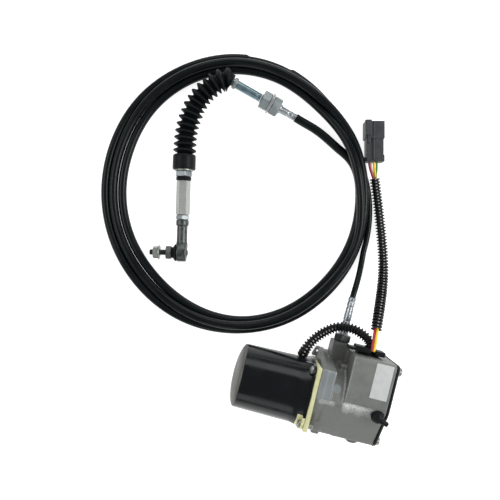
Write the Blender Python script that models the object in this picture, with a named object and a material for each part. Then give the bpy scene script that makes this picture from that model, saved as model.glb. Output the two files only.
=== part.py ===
"""Engine governor actuator: worm gear motor, control cable and wiring, each piece its own closed body.

Sizes are in millimetres and become metres where a mesh is made. The motor's shaft runs along x, the
output shaft stands along z, and z = 0 is the ground the parts rest on.
"""
import math

import bpy
import numpy as np
from mathutils import Matrix, Vector

MM = 0.001

# Clearances
GAP = 0.3
RUNNING = 0.08
BOOLEAN_OVER = 1.0

# Where the cable, the loom and the connector lie, turned from the actuator's own axes
TABLE_TURN = math.radians(14.0)
TABLE_SHIFT_X = -121.0
TABLE_SHIFT_Y = 108.5

# Motor
SHAFT_Y = -8.0
SHAFT_R = 4.0
CAN_RIM_X = -101.0
CAN_DOME = 7.3
CAN_FRONT_R = 30.8
CAN_DRAFT = 1.0
CAN_REAR_R = CAN_FRONT_R - CAN_DRAFT
CAN_WALL = 1.6
PLATE_FRONT_X = -32.3
PLATE_THICKNESS = 4.3
PLATE_BACK_X = PLATE_FRONT_X - PLATE_THICKNESS
FLANGE_THICKNESS = 2.4
FLANGE_FRONT_X = PLATE_BACK_X - GAP
FLANGE_BACK_X = FLANGE_FRONT_X - FLANGE_THICKNESS
MOTOR_SCREW_R = 2.4
MOTOR_SCREW_HEAD_R = 4.6
MOTOR_SCREW_SPACE = 0.3106
MOTOR_SCREW_TURN = math.atan2(51, 50)
MOTOR_SCREW_REACH = CAN_FRONT_R + MOTOR_SCREW_HEAD_R + MOTOR_SCREW_SPACE
MOTOR_SCREW_Y = MOTOR_SCREW_REACH * math.cos(MOTOR_SCREW_TURN)
MOTOR_SCREW_Z = MOTOR_SCREW_REACH * math.sin(MOTOR_SCREW_TURN)
PLATE_HALF_Y = MOTOR_SCREW_Y + 4.5
PLATE_HALF_Z = MOTOR_SCREW_Z + 7.0
FLANGE_R = MOTOR_SCREW_REACH + 3.8
SHAFT_Z = PLATE_HALF_Z + 0.5
STACK_BACK_X = CAN_RIM_X + 9.0
STACK_FRONT_X = STACK_BACK_X + 36.0
CAN_INNER_R = CAN_FRONT_R - CAN_DRAFT - CAN_WALL
MAGNET_WALL = 5.5
MAGNET_INNER_R = CAN_INNER_R - GAP - 0.1 - MAGNET_WALL
AIR_GAP = 0.7
ARMATURE_R = MAGNET_INNER_R - AIR_GAP
BUSH_REAR_R = SHAFT_R + 4.0
BEARING_R = SHAFT_R + 7.0
COMMUTATOR_R = SHAFT_R + 4.0

# Gear train
MODULE = 1.0
ADDENDUM = 0.8 * MODULE
DEDENDUM = 1.2 * MODULE
BACKLASH = 0.16
WORM_PITCH_R = 6.0
WORM_TIP_R = WORM_PITCH_R + ADDENDUM
WORM_ROOT_R = WORM_PITCH_R - DEDENDUM
WORM_LEAD = math.pi * MODULE
WORM_TURNS = 8
WHEEL_TEETH = 30
WHEEL_PITCH_R = 0.5 * WHEEL_TEETH * MODULE
WHEEL_TIP_R = WHEEL_PITCH_R + ADDENDUM
WHEEL_ROOT_R = WHEEL_PITCH_R - DEDENDUM
WHEEL_WIDTH = 10.0
WHEEL_LOW_Z = SHAFT_Z - 0.5 * WHEEL_WIDTH
WHEEL_HIGH_Z = SHAFT_Z + 0.5 * WHEEL_WIDTH
OUT_X = 4.5
OUT_Y = SHAFT_Y + WORM_PITCH_R + WHEEL_PITCH_R
OUT_R = 5.0
BUSH_WALL = 3.0
BUSH_R = OUT_R + BUSH_WALL
DRUM_FLANGE_R = 20.0
DRUM_WIRE_R = DRUM_FLANGE_R - 2.0
DRUM_WIDTH = 10.0
DRUM_HIGH_Z = WHEEL_LOW_Z - 4.0
DRUM_LOW_Z = DRUM_HIGH_Z - DRUM_WIDTH
DRUM_SPACE = 1.5
WIRE_R = 1.2
WIRE_X = OUT_X - DRUM_WIRE_R
WIRE_Z = 0.5 * (DRUM_LOW_Z + DRUM_HIGH_Z)
SENSOR_LOW_Z = WHEEL_HIGH_Z + 3.5

# Housing
WALL = 3.7
BACK_WALL = 3.3
BOX_BACK_X = -7.0
BOX_FRONT_X = 32.3
BOX_HALF_Y = OUT_Y + DRUM_FLANGE_R + DRUM_SPACE + 5.5
PLATE_TOP_Z = SHAFT_Z + PLATE_HALF_Z
TOP_Z = PLATE_TOP_Z + 0.5
TOP_EDGE_Y = -3.0
SHOULDER_Z = TOP_Z - 5.5
SHOULDER_Y = -14.7
EAVE_Z = TOP_Z - 18.4
PLATE_LOW_Y = SHAFT_Y - PLATE_HALF_Y
PLATE_HIGH_Y = SHAFT_Y + PLATE_HALF_Y
NECK_R = PLATE_HALF_Z - 2.0
NECK_BACK_X = -18.7
BOSS_FACE_Y = BOX_HALF_Y + 4.3
GASKET = 0.7
COVER = 2.8
COVER_SCREW_R = 2.0
COVER_SCREW_HEAD_R = 3.9
COVER_SCREW_INSET = 5.7
COLUMN_R = COVER_SCREW_R + 2.4
ROOF_BOSS_Z = TOP_Z - 13.0
SENSOR_HIGH_Z = ROOF_BOSS_Z - 1.2
FLOOR_BUSH_Z = DRUM_LOW_Z - 4.0
HOLE_LOW = (-2.0, SHAFT_Z)
HOLE_HIGH = (19.0, SHAFT_Z + 14.0)

# Control cable
SLEEVE_R = 4.05
CONDUIT_R = 2.7
FERRULE_START_Y = BOSS_FACE_Y + GAP
FERRULE_END_Y = FERRULE_START_Y + 43.4
COIL_CENTRE = (-14.9, 56.0)
COIL_HEIGHT = 8.5
COIL_OUTER = [133.0, 129.0, 131.5, 136.5, 138.8, 138.0, 136.7, 134.1, 134.1, 135.1, 136.0, 138.0, 139.2, 139.5, 138.0, 137.0]
COIL_INNER = [119.8, 116.1, 115.4, 116.8, 118.2, 116.5, 112.8, 108.6, 106.3, 105.9, 108.7, 115.1, 121.0, 122.1, 120.6, 120.5]
HUB_START = (46.7, 129.1, 8.8)
HUB_END = (-15.35, 162.1, 17.6)
END_Z = 11.6
END_TOP = (-64.2, 94.4)
END_RUN = (-0.030, -0.99955)
TRAVEL = 25.0


def clear_scene():
    """Removes whatever the empty session starts with."""
    for obj in list(bpy.data.objects):
        bpy.data.objects.remove(obj, do_unlink=True)


def table(right, up, z):
    """Gives the point in the actuator's axes for a place on the table, right and up as in the photo."""
    c = math.cos(TABLE_TURN)
    s = math.sin(TABLE_TURN)
    return Vector((right * c - up * s + TABLE_SHIFT_X, right * s + up * c + TABLE_SHIFT_Y, z))


def table_direction(right, up, rise=0.0):
    """Gives a unit direction in the actuator's axes for a direction on the table."""
    return (table(right, up, rise) - table(0.0, 0.0, 0.0)).normalized()


def material(name, finish):
    """Makes the piece's own Principled material from a finish of colour, metallic and roughness."""
    colour, metallic, roughness = finish
    made = bpy.data.materials.new(name)
    made.use_nodes = True
    shader = made.node_tree.nodes["Principled BSDF"]
    shader.inputs["Base Color"].default_value = (*colour, 1.0)
    shader.inputs["Metallic"].default_value = metallic
    shader.inputs["Roughness"].default_value = roughness
    made.diffuse_color = (*colour, 1.0)
    return made


CAST = ((0.17, 0.175, 0.18), 0.7, 0.5)
GLOSS_BLACK = ((0.012, 0.012, 0.013), 0.0, 0.15)
YELLOW_ZINC = ((0.60, 0.58, 0.33), 0.8, 0.35)
ZINC = ((0.45, 0.46, 0.44), 0.9, 0.3)
TUBE_ZINC = ((0.25, 0.31, 0.33), 0.9, 0.35)
COUPLER_GREY = ((0.38, 0.39, 0.37), 0.8, 0.45)
ROD_ZINC = ((0.12, 0.125, 0.125), 0.85, 0.4)
RUBBER = ((0.010, 0.012, 0.014), 0.0, 0.6)
SATIN_BLACK = ((0.018, 0.021, 0.023), 0.0, 0.45)
CONNECTOR_GREY = ((0.05, 0.055, 0.06), 0.0, 0.5)
STEEL = ((0.45, 0.45, 0.46), 1.0, 0.3)
BRASS = ((0.60, 0.42, 0.15), 1.0, 0.3)
COPPER = ((0.55, 0.20, 0.10), 0.9, 0.35)
FERRITE = ((0.05, 0.05, 0.055), 0.2, 0.6)
NYLON = ((0.55, 0.53, 0.46), 0.0, 0.5)
CARBON = ((0.03, 0.03, 0.03), 0.1, 0.6)
WIRE_RED = ((0.35, 0.02, 0.02), 0.0, 0.4)


def signed_volume(points, faces):
    """Gives the closed mesh's volume, which is positive when its faces look outward."""
    total = 0.0
    for face in faces:
        a = points[face[0]]
        for k in range(1, len(face) - 1):
            total += float(np.dot(a, np.cross(points[face[k]], points[face[k + 1]]))) / 6.0
    return total


def solid(name, points, faces, finish=None, origin=None, sharp=38.0):
    """Makes one closed body facing out; without a finish it is a hidden cutting tool."""
    pts = np.array([tuple(p) for p in points], dtype=float)
    if signed_volume(pts - pts.mean(axis=0), faces) < 0.0:
        faces = [tuple(reversed(f)) for f in faces]
    base = np.array(tuple(origin), dtype=float) if origin is not None else np.zeros(3)
    mesh = bpy.data.meshes.new(name)
    mesh.from_pydata([tuple(p) for p in (pts - base) * MM], [], faces)
    mesh.polygons.foreach_set("use_smooth", [True] * len(mesh.polygons))
    mesh.set_sharp_from_angle(angle=math.radians(sharp))
    obj = bpy.data.objects.new(name, mesh)
    bpy.context.scene.collection.objects.link(obj)
    obj.location = tuple(base * MM)
    if finish is None:
        obj.hide_render = True
        obj.display_type = "WIRE"
    else:
        mesh.materials.append(material(name, finish))
    return obj


def loft(name, rings, finish=None, origin=None, loop=False, sharp=38.0):
    """Skins rings of equal point counts; the ends get flat caps unless the skin closes on itself."""
    count = len(rings[0])
    points = [p for ring in rings for p in ring]
    faces = []
    last = len(rings) if loop else len(rings) - 1
    for i in range(last):
        a = i * count
        b = ((i + 1) % len(rings)) * count
        for k in range(count):
            n = (k + 1) % count
            faces.append((a + k, a + n, b + n, b + k))
    if not loop:
        faces.append(tuple(reversed(range(count))))
        faces.append(tuple(range((len(rings) - 1) * count, len(rings) * count)))
    return solid(name, points, faces, finish, origin, sharp)


def turned(name, profile, finish=None, at=(0, 0, 0), along=(0, 0, 1), segments=24, origin=None,
           sides=None, phase=0.0, sharp=38.0):
    """Turns a profile of (distance along, radius) about an axis; a profile off the axis closes into a ring.

    sides gives, for a profile point, how many flats its outline has, 0 for round.
    """
    turn = Vector(along).normalized().to_track_quat("Z", "Y").to_matrix()
    start = Vector(at)
    points = []
    starts = []
    for i, (s, r) in enumerate(profile):
        starts.append(len(points))
        if r <= 0.0:
            points.append(start + turn @ Vector((0, 0, s)))
            continue
        flats = sides[i] if sides else 0
        for k in range(segments):
            a = 2 * math.pi * k / segments + phase
            reach = r
            if flats:
                step = 2 * math.pi / flats
                off = (a - phase + step / 2) % step - step / 2
                reach = r / math.cos(off)
            points.append(start + turn @ Vector((reach * math.cos(a), reach * math.sin(a), s)))
    faces = []
    pairs = [(i, i + 1) for i in range(len(profile) - 1)]
    if profile[0][1] > 0.0:
        pairs.append((len(profile) - 1, 0))
    for i, j in pairs:
        a = starts[i]
        b = starts[j]
        for k in range(segments):
            n = (k + 1) % segments
            if profile[i][1] <= 0.0:
                faces.append((a, b + k, b + n))
            elif profile[j][1] <= 0.0:
                faces.append((a + k, b, a + n))
            else:
                faces.append((a + k, b + k, b + n, a + n))
    return solid(name, points, faces, finish, origin, sharp)


def prism(name, outline, low, high, across, finish=None, origin=None, sharp=38.0):
    """Runs a flat outline along one axis: across is "x", "y" or "z", the outline holds the other two."""
    def place(a, b, c):
        return {"x": (c, a, b), "y": (a, c, b), "z": (a, b, c)}[across]
    return loft(name, [[place(a, b, c) for a, b in outline] for c in (low, high)], finish, origin, False, sharp)


def box(name, low, high, finish=None, origin=None):
    """Makes a plain block between two corners."""
    outline = [(low[0], low[1]), (high[0], low[1]), (high[0], high[1]), (low[0], high[1])]
    return prism(name, outline, low[2], high[2], "z", finish, origin)


def arc(centre, radius, start, end, count):
    """Gives points on an arc, angles in degrees."""
    turns = [math.radians(start + (end - start) * i / count) for i in range(count + 1)]
    return [(centre[0] + radius * math.cos(t), centre[1] + radius * math.sin(t)) for t in turns]


def combine(target, tool, operation):
    """Cuts the tool out of the target, or joins it on, with an exact Boolean."""
    step = target.modifiers.new(tool.name, "BOOLEAN")
    step.operation = operation
    step.solver = "EXACT"
    step.object = tool
    tool.hide_render = True
    tool.display_type = "WIRE"


def cut(target, *tools):
    """Cuts every tool out of the target."""
    for tool in tools:
        combine(target, tool, "DIFFERENCE")


def join(target, *tools):
    """Joins every tool onto the target."""
    for tool in tools:
        combine(target, tool, "UNION")


def bevelled(obj, width, segments=2, angle=50.0):
    """Rounds the object's edges that are sharper than the angle."""
    step = obj.modifiers.new("edges", "BEVEL")
    step.width = width * MM
    step.segments = segments
    step.limit_method = "ANGLE"
    step.angle_limit = math.radians(angle)
    step.use_clamp_overlap = True


def smooth_path(route, spacing):
    """Runs a Catmull-Rom curve through the route and gives evenly spaced points on it."""
    pts = [Vector(p) for p in route]
    pts = [2 * pts[0] - pts[1]] + pts + [2 * pts[-1] - pts[-2]]
    fine = []
    for i in range(1, len(pts) - 2):
        for k in range(24):
            t = k / 24
            p0, p1, p2, p3 = pts[i - 1:i + 3]
            fine.append(0.5 * (2 * p1 + (p2 - p0) * t + (2 * p0 - 5 * p1 + 4 * p2 - p3) * t ** 2
                               + (3 * p1 - p0 - 3 * p2 + p3) * t ** 3))
    fine.append(pts[-2])
    far = [0.0]
    for a, b in zip(fine, fine[1:]):
        far.append(far[-1] + (b - a).length)
    count = max(3, round(far[-1] / spacing))
    path = []
    k = 0
    for i in range(count + 1):
        want = far[-1] * i / count
        while k < len(far) - 2 and far[k + 1] < want:
            k += 1
        share = (want - far[k]) / max(far[k + 1] - far[k], 1e-9)
        path.append(fine[k].lerp(fine[k + 1], min(1.0, max(0.0, share))))
    return path


def tube(name, route, radius, finish, spacing, fineness=2, origin=None):
    """Makes a round cord as a curve with filled ends along a smooth path."""
    path = smooth_path(route, spacing)
    base = Vector(origin) if origin is not None else Vector((0, 0, 0))
    data = bpy.data.curves.new(name, "CURVE")
    data.dimensions = "3D"
    data.bevel_depth = radius * MM
    data.bevel_resolution = fineness
    data.use_fill_caps = True
    spline = data.splines.new("POLY")
    spline.points.add(len(path) - 1)
    for point, place in zip(spline.points, path):
        point.co = (*((place - base) * MM), 1.0)
    obj = bpy.data.objects.new(name, data)
    bpy.context.scene.collection.objects.link(obj)
    obj.location = tuple(base * MM)
    data.materials.append(material(name, finish))
    return obj


def along_path(path):
    """Gives, for each point of a path, its direction and two directions across it that never twist."""
    frames = []
    side = None
    for i, place in enumerate(path):
        ahead = (path[min(i + 1, len(path) - 1)] - path[max(i - 1, 0)]).normalized()
        if side is None:
            side = ahead.orthogonal().normalized()
        side = (side - ahead * side.dot(ahead)).normalized()
        frames.append((ahead, side, ahead.cross(side)))
    return frames


def housing():
    """Makes the cast gear housing with its chamber, bores and bosses."""
    roof = [(BOX_HALF_Y, 0.0), (BOX_HALF_Y, TOP_Z - 3.0), (BOX_HALF_Y - 0.9, TOP_Z - 0.9),
            (BOX_HALF_Y - 3.0, TOP_Z), (TOP_EDGE_Y, TOP_Z), (TOP_EDGE_Y - 4.0, TOP_Z - 1.2),
            (SHOULDER_Y, SHOULDER_Z), (-BOX_HALF_Y + 3.5, EAVE_Z + 1.8), (-BOX_HALF_Y + 0.7, EAVE_Z - 0.8), (-BOX_HALF_Y, EAVE_Z - 4.0),
            (-BOX_HALF_Y, 0.0)]
    made = prism("gear_housing", roof, BOX_BACK_X, BOX_FRONT_X, "x", CAST)
    low_side = [(10.0, 0.0), (10.0, TOP_Z - 10.0), (-2.0, TOP_Z - 4.5), (-8.0, TOP_Z - 3.4), (SHOULDER_Y, SHOULDER_Z - 0.4),
                (-BOX_HALF_Y + 3.5, EAVE_Z + 1.5), (-BOX_HALF_Y + 0.9, EAVE_Z - 1.0), (-BOX_HALF_Y + 0.2, EAVE_Z - 4.0),
                (-BOX_HALF_Y + 0.2, 0.3), (-20.0, 0.1)]
    shoulder = prism("add_shoulder", low_side, -27.0, BOX_BACK_X + 4.0, "x")
    neck_high = SHAFT_Y + NECK_R
    neck_outline = [(neck_high + 3.5, 0.2), (neck_high + 3.5, SHAFT_Z - 6.0), (neck_high + 0.3, SHAFT_Z + 2.0)]
    neck_outline += arc((SHAFT_Y, SHAFT_Z), NECK_R, 14.0, 170.0, 14)
    neck_outline += [(SHAFT_Y - NECK_R + 2.5, 0.2)]
    neck = prism("add_neck", neck_outline, NECK_BACK_X - 4.0, BOX_BACK_X + 3.0, "x")
    flange_low = [(PLATE_LOW_Y, 0.4), (PLATE_HIGH_Y + 10.5, 0.4), (PLATE_HIGH_Y + 10.5, 6.0), (PLATE_HIGH_Y - 0.1, PLATE_TOP_Z), (PLATE_LOW_Y, PLATE_TOP_Z)]
    flange_back = PLATE_FRONT_X + GAP
    flange = prism("add_flange", flange_low, flange_back, flange_back + 5.5, "x")
    back = [(PLATE_LOW_Y - 0.5, 0.5), (PLATE_HIGH_Y + 7.0, 0.5), (PLATE_HIGH_Y + 7.0, 6.0), (PLATE_HIGH_Y - 0.3, PLATE_TOP_Z - 1.0), (PLATE_HIGH_Y - 1.5, PLATE_TOP_Z - 0.1),
            (SHAFT_Y - 1.0, PLATE_TOP_Z - 0.1), (SHAFT_Y - 9.0, PLATE_TOP_Z - 6.5), (PLATE_LOW_Y - 0.5, PLATE_TOP_Z - 17.5)]
    block = prism("add_block", back, flange_back + 4.5, NECK_BACK_X, "x")
    cable_boss = box("add_cable_boss", (WIRE_X - 9.25, BOX_HALF_Y - 22.0, WIRE_Z - 13.0), (WIRE_X + 5.4, BOSS_FACE_Y, WIRE_Z + 11.0))
    bevelled(cable_boss, 1.2, 2)
    foot = [(-36.8, 22.4), (-32.4, 22.4), (-30.0, 18.0), (-19.0, 18.0), (-19.0, 27.5), (-32.0, 32.5), (-34.0, 32.0), (-36.8, 24.0)]
    lug = prism("add_lug", foot, 0.0, 6.2, "z")
    side_rib = prism("add_side_rib", [(-26.0, 4.0 - BOX_HALF_Y), (-26.0, -0.6 - BOX_HALF_Y), (-25.0, -1.6 - BOX_HALF_Y), (-20.0, -1.6 - BOX_HALF_Y), (-19.0, -0.6 - BOX_HALF_Y), (-19.0, 4.0 - BOX_HALF_Y)], 0.15, EAVE_Z - 1.2, "z")
    boss_top = EAVE_Z - 7.6
    side_boss = turned("add_side_boss", [(0.1, 0.0), (0.1, 8.0), (boss_top - 1.0, 8.0), (boss_top, 7.0), (boss_top, 0.0)], at=(14.0, 4.0 - BOX_HALF_Y, 0.0), segments=20)
    join(made, shoulder, neck, flange, block, cable_boss, lug, side_rib, side_boss)

    inside = BOX_HALF_Y - WALL
    hollow = [(inside, 4.0), (inside, TOP_Z - WALL), (TOP_EDGE_Y, TOP_Z - WALL), (SHOULDER_Y, SHOULDER_Z - WALL),
              (-inside, EAVE_Z - 2.0), (-inside, 4.0)]
    chamber = prism("cut_chamber", hollow, BOX_BACK_X + BACK_WALL, BOX_FRONT_X + BOOLEAN_OVER, "x")
    cut(made, chamber)
    boss_r = BUSH_R + 3.0
    floor_boss = turned("add_floor_boss", [(2.0, 0.0), (2.0, boss_r), (FLOOR_BUSH_Z, boss_r), (FLOOR_BUSH_Z, 0.0)], at=(OUT_X, OUT_Y, 0.0), segments=24)
    roof_boss = turned("add_roof_boss", [(ROOF_BOSS_Z, 0.0), (ROOF_BOSS_Z, boss_r), (TOP_Z - 2.0, boss_r), (TOP_Z - 2.0, 0.0)], at=(OUT_X, OUT_Y, 0.0), segments=24)
    join(made, floor_boss, roof_boss)
    for i, (y, z) in enumerate(COVER_SCREWS):
        column = turned(f"add_column_{i + 1}", [(BOX_BACK_X + 1.0, 0.0), (BOX_BACK_X + 1.0, COLUMN_R), (BOX_FRONT_X, COLUMN_R), (BOX_FRONT_X, 0.0)],
                        at=(0, y, z), along=(1, 0, 0), segments=16)
        join(made, column)
        bore = turned(f"cut_cover_bore_{i + 1}", [(BOX_FRONT_X - 12.0, 0.0), (BOX_FRONT_X - 12.0, COVER_SCREW_R + 0.15), (BOX_FRONT_X + 1.0, COVER_SCREW_R + 0.15), (BOX_FRONT_X + 1.0, 0.0)],
                      at=(0, y, z), along=(1, 0, 0), segments=16)
        cut(made, bore)
    drum_room = turned("cut_drum_room", [(DRUM_LOW_Z - 2.0, 0.0), (DRUM_LOW_Z - 2.0, DRUM_FLANGE_R + DRUM_SPACE), (DRUM_HIGH_Z + 2.0, DRUM_FLANGE_R + DRUM_SPACE), (DRUM_HIGH_Z + 2.0, 0.0)], at=(OUT_X, OUT_Y, 0.0), segments=40)
    wheel_room = turned("cut_wheel_room", [(WHEEL_LOW_Z - 2.5, 0.0), (WHEEL_LOW_Z - 2.5, WHEEL_TIP_R + 1.4), (WHEEL_HIGH_Z + 2.5, WHEEL_TIP_R + 1.4), (WHEEL_HIGH_Z + 2.5, 0.0)], at=(OUT_X, OUT_Y, 0.0), segments=36)
    worm_room = turned("cut_worm_room", [(-23.2, 0.0), (-23.2, WORM_TIP_R + 2.2), (0.0, WORM_TIP_R + 2.2), (0.0, 0.0)], at=(0, SHAFT_Y, SHAFT_Z), along=(1, 0, 0), segments=24)
    bearing_seat = turned("cut_bearing_seat", [(PLATE_FRONT_X - 0.7, 0.0), (PLATE_FRONT_X - 0.7, BEARING_R + 0.15), (-23.0, BEARING_R + 0.15), (-23.0, 0.0)], at=(0, SHAFT_Y, SHAFT_Z), along=(1, 0, 0), segments=36)
    floor_bore = turned("cut_floor_bore", [(-1.0, 0.0), (-1.0, BUSH_R + 0.12), (FLOOR_BUSH_Z + 1.0, BUSH_R + 0.12), (FLOOR_BUSH_Z + 1.0, 0.0)], at=(OUT_X, OUT_Y, 0.0), segments=24)
    roof_bore = turned("cut_roof_bore", [(ROOF_BOSS_Z - 1.0, 0.0), (ROOF_BOSS_Z - 1.0, BUSH_R + 0.12), (TOP_Z - 3.4, BUSH_R + 0.12), (TOP_Z - 3.4, 0.0)], at=(OUT_X, OUT_Y, 0.0), segments=24)
    wire_bore = turned("cut_wire_bore", [(OUT_Y + 2.0, 0.0), (OUT_Y + 2.0, WIRE_R + 1.0), (BOSS_FACE_Y + 1.7, WIRE_R + 1.0), (BOSS_FACE_Y + 1.7, 0.0)], at=(WIRE_X, 0, WIRE_Z), along=(0, 1, 0), segments=16)
    wire_slot = box("cut_wire_slot", (WIRE_X - 2.5, OUT_Y - 28.5, WIRE_Z - 3.0), (WIRE_X + 2.5, OUT_Y + 1.0, WIRE_Z + 3.0))
    wiring_hole = box("cut_wiring_hole", (HOLE_LOW[0], BOX_HALF_Y - 6.0, HOLE_LOW[1]), (HOLE_HIGH[0], BOX_HALF_Y + 2.0, HOLE_HIGH[1]))
    cut(made, drum_room, wheel_room, worm_room, bearing_seat, floor_bore, roof_bore, wire_bore, wire_slot, wiring_hole)
    for i, (y, z) in enumerate(MOTOR_SCREWS):
        bore = turned(f"cut_motor_bore_{i + 1}", [(PLATE_FRONT_X - 0.7, 0.0), (PLATE_FRONT_X - 0.7, MOTOR_SCREW_R + 0.15), (flange_back + 6.0, MOTOR_SCREW_R + 0.15), (flange_back + 6.0, 0.0)], at=(0, y, z), along=(1, 0, 0), segments=16)
        cut(made, bore)


MOTOR_SCREWS = [(SHAFT_Y + a * MOTOR_SCREW_Y, SHAFT_Z + b * MOTOR_SCREW_Z) for a, b in ((1, 1), (-1, 1), (1, -1), (-1, -1))]
COVER_SCREW_HIGH_Y = BOX_HALF_Y - COVER_SCREW_INSET
COVER_SCREW_LOW_Y = -BOX_HALF_Y + COVER_SCREW_INSET - 0.3
COVER_SCREWS = [(COVER_SCREW_HIGH_Y, TOP_Z - 5.8), (COVER_SCREW_LOW_Y, EAVE_Z - 3.6), (COVER_SCREW_HIGH_Y, 5.6), (COVER_SCREW_LOW_Y, 5.6)]


def cover_outline(inset):
    """Gives the outline of the end cover and its gasket, a little inside the housing's own."""
    floor = max(inset, 0.0)
    return [(BOX_HALF_Y - inset, floor), (BOX_HALF_Y - inset, TOP_Z - 3.0), (BOX_HALF_Y - 0.9 - inset, TOP_Z - 0.9 - inset),
            (BOX_HALF_Y - 3.0, TOP_Z - inset), (TOP_EDGE_Y, TOP_Z - inset), (SHOULDER_Y, SHOULDER_Z - inset),
            (-BOX_HALF_Y + 3.5, EAVE_Z + 1.8 - inset), (-BOX_HALF_Y + inset, EAVE_Z - 3.0), (-BOX_HALF_Y + inset, floor)]


def end_cover():
    """Makes the end cover with the boss that carries the worm's free end, its gasket and screws."""
    back = BOX_FRONT_X + GASKET + 2 * 0.1
    front = back + COVER
    cover = prism("end_cover", cover_outline(0.0), back, front, "x", CAST)
    bevelled(cover, 0.7, 1)
    boss = turned("add_cover_boss", [(22.0, 0.0), (22.0, SHAFT_R + 4.2), (back + 1.0, SHAFT_R + 5.0), (back + 1.0, 0.0)], at=(0, SHAFT_Y, SHAFT_Z), along=(1, 0, 0), segments=24)
    join(cover, boss)
    bore = turned("cut_cover_boss_bore", [(21.0, 0.0), (21.0, SHAFT_R + 0.12), (31.0, SHAFT_R + 0.12), (31.0, 0.0)], at=(0, SHAFT_Y, SHAFT_Z), along=(1, 0, 0), segments=24)
    cut(cover, bore)
    gasket = prism("cover_gasket", cover_outline(-0.3), BOX_FRONT_X + 0.1, BOX_FRONT_X + 0.1 + GASKET, "x", RUBBER)
    right = COVER_SCREW_HIGH_Y - 5.3
    left = COVER_SCREW_LOW_Y + 5.2
    low = 10.8
    shoulder = COVER_SCREWS[1][1] - 5.4
    window = [(right, 3.4), (right, low), (BOX_HALF_Y - 3.4, low), (BOX_HALF_Y - 3.4, TOP_Z - 11.0), (right, TOP_Z - 11.0), (right, TOP_Z - 3.6),
              (TOP_EDGE_Y, TOP_Z - 3.6), (SHOULDER_Y, SHOULDER_Z - 3.6), (left, EAVE_Z + 1.6), (left, shoulder), (-BOX_HALF_Y + 3.4, shoulder),
              (-BOX_HALF_Y + 3.4, low + 0.2), (left, low + 0.2), (left, 3.4)]
    cut(gasket, prism("cut_gasket_window", window, BOX_FRONT_X - 1.0, BOX_FRONT_X + 3.0, "x"))
    for i, (y, z) in enumerate(COVER_SCREWS):
        hole = [(BOX_FRONT_X - 1.0, 0.0), (BOX_FRONT_X - 1.0, COVER_SCREW_R + 0.2), (front + 1.0, COVER_SCREW_R + 0.2), (front + 1.0, 0.0)]
        through = turned(f"cut_cover_hole_{i + 1}", hole, at=(0, y, z), along=(1, 0, 0), segments=16)
        cut(cover, through)
        cut(gasket, through)
        screw(f"cover_screw_{i + 1}", (front + 0.1, y, z), (1, 0, 0), COVER_SCREW_R, 13.0, COVER_SCREW_HEAD_R, 2.4)


def screw(name, seat, outward, shank_r, shank, head_r, head):
    """Makes a pan head screw whose head sits at the seat and whose shank runs the other way."""
    profile = [(-shank, 0.0), (-shank, shank_r), (0.0, shank_r), (0.0, head_r), (0.55 * head, head_r),
               (0.86 * head, 0.78 * head_r), (head, 0.35 * head_r), (head, 0.0)]
    turned(name, profile, ZINC, at=seat, along=outward, segments=12)


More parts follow.
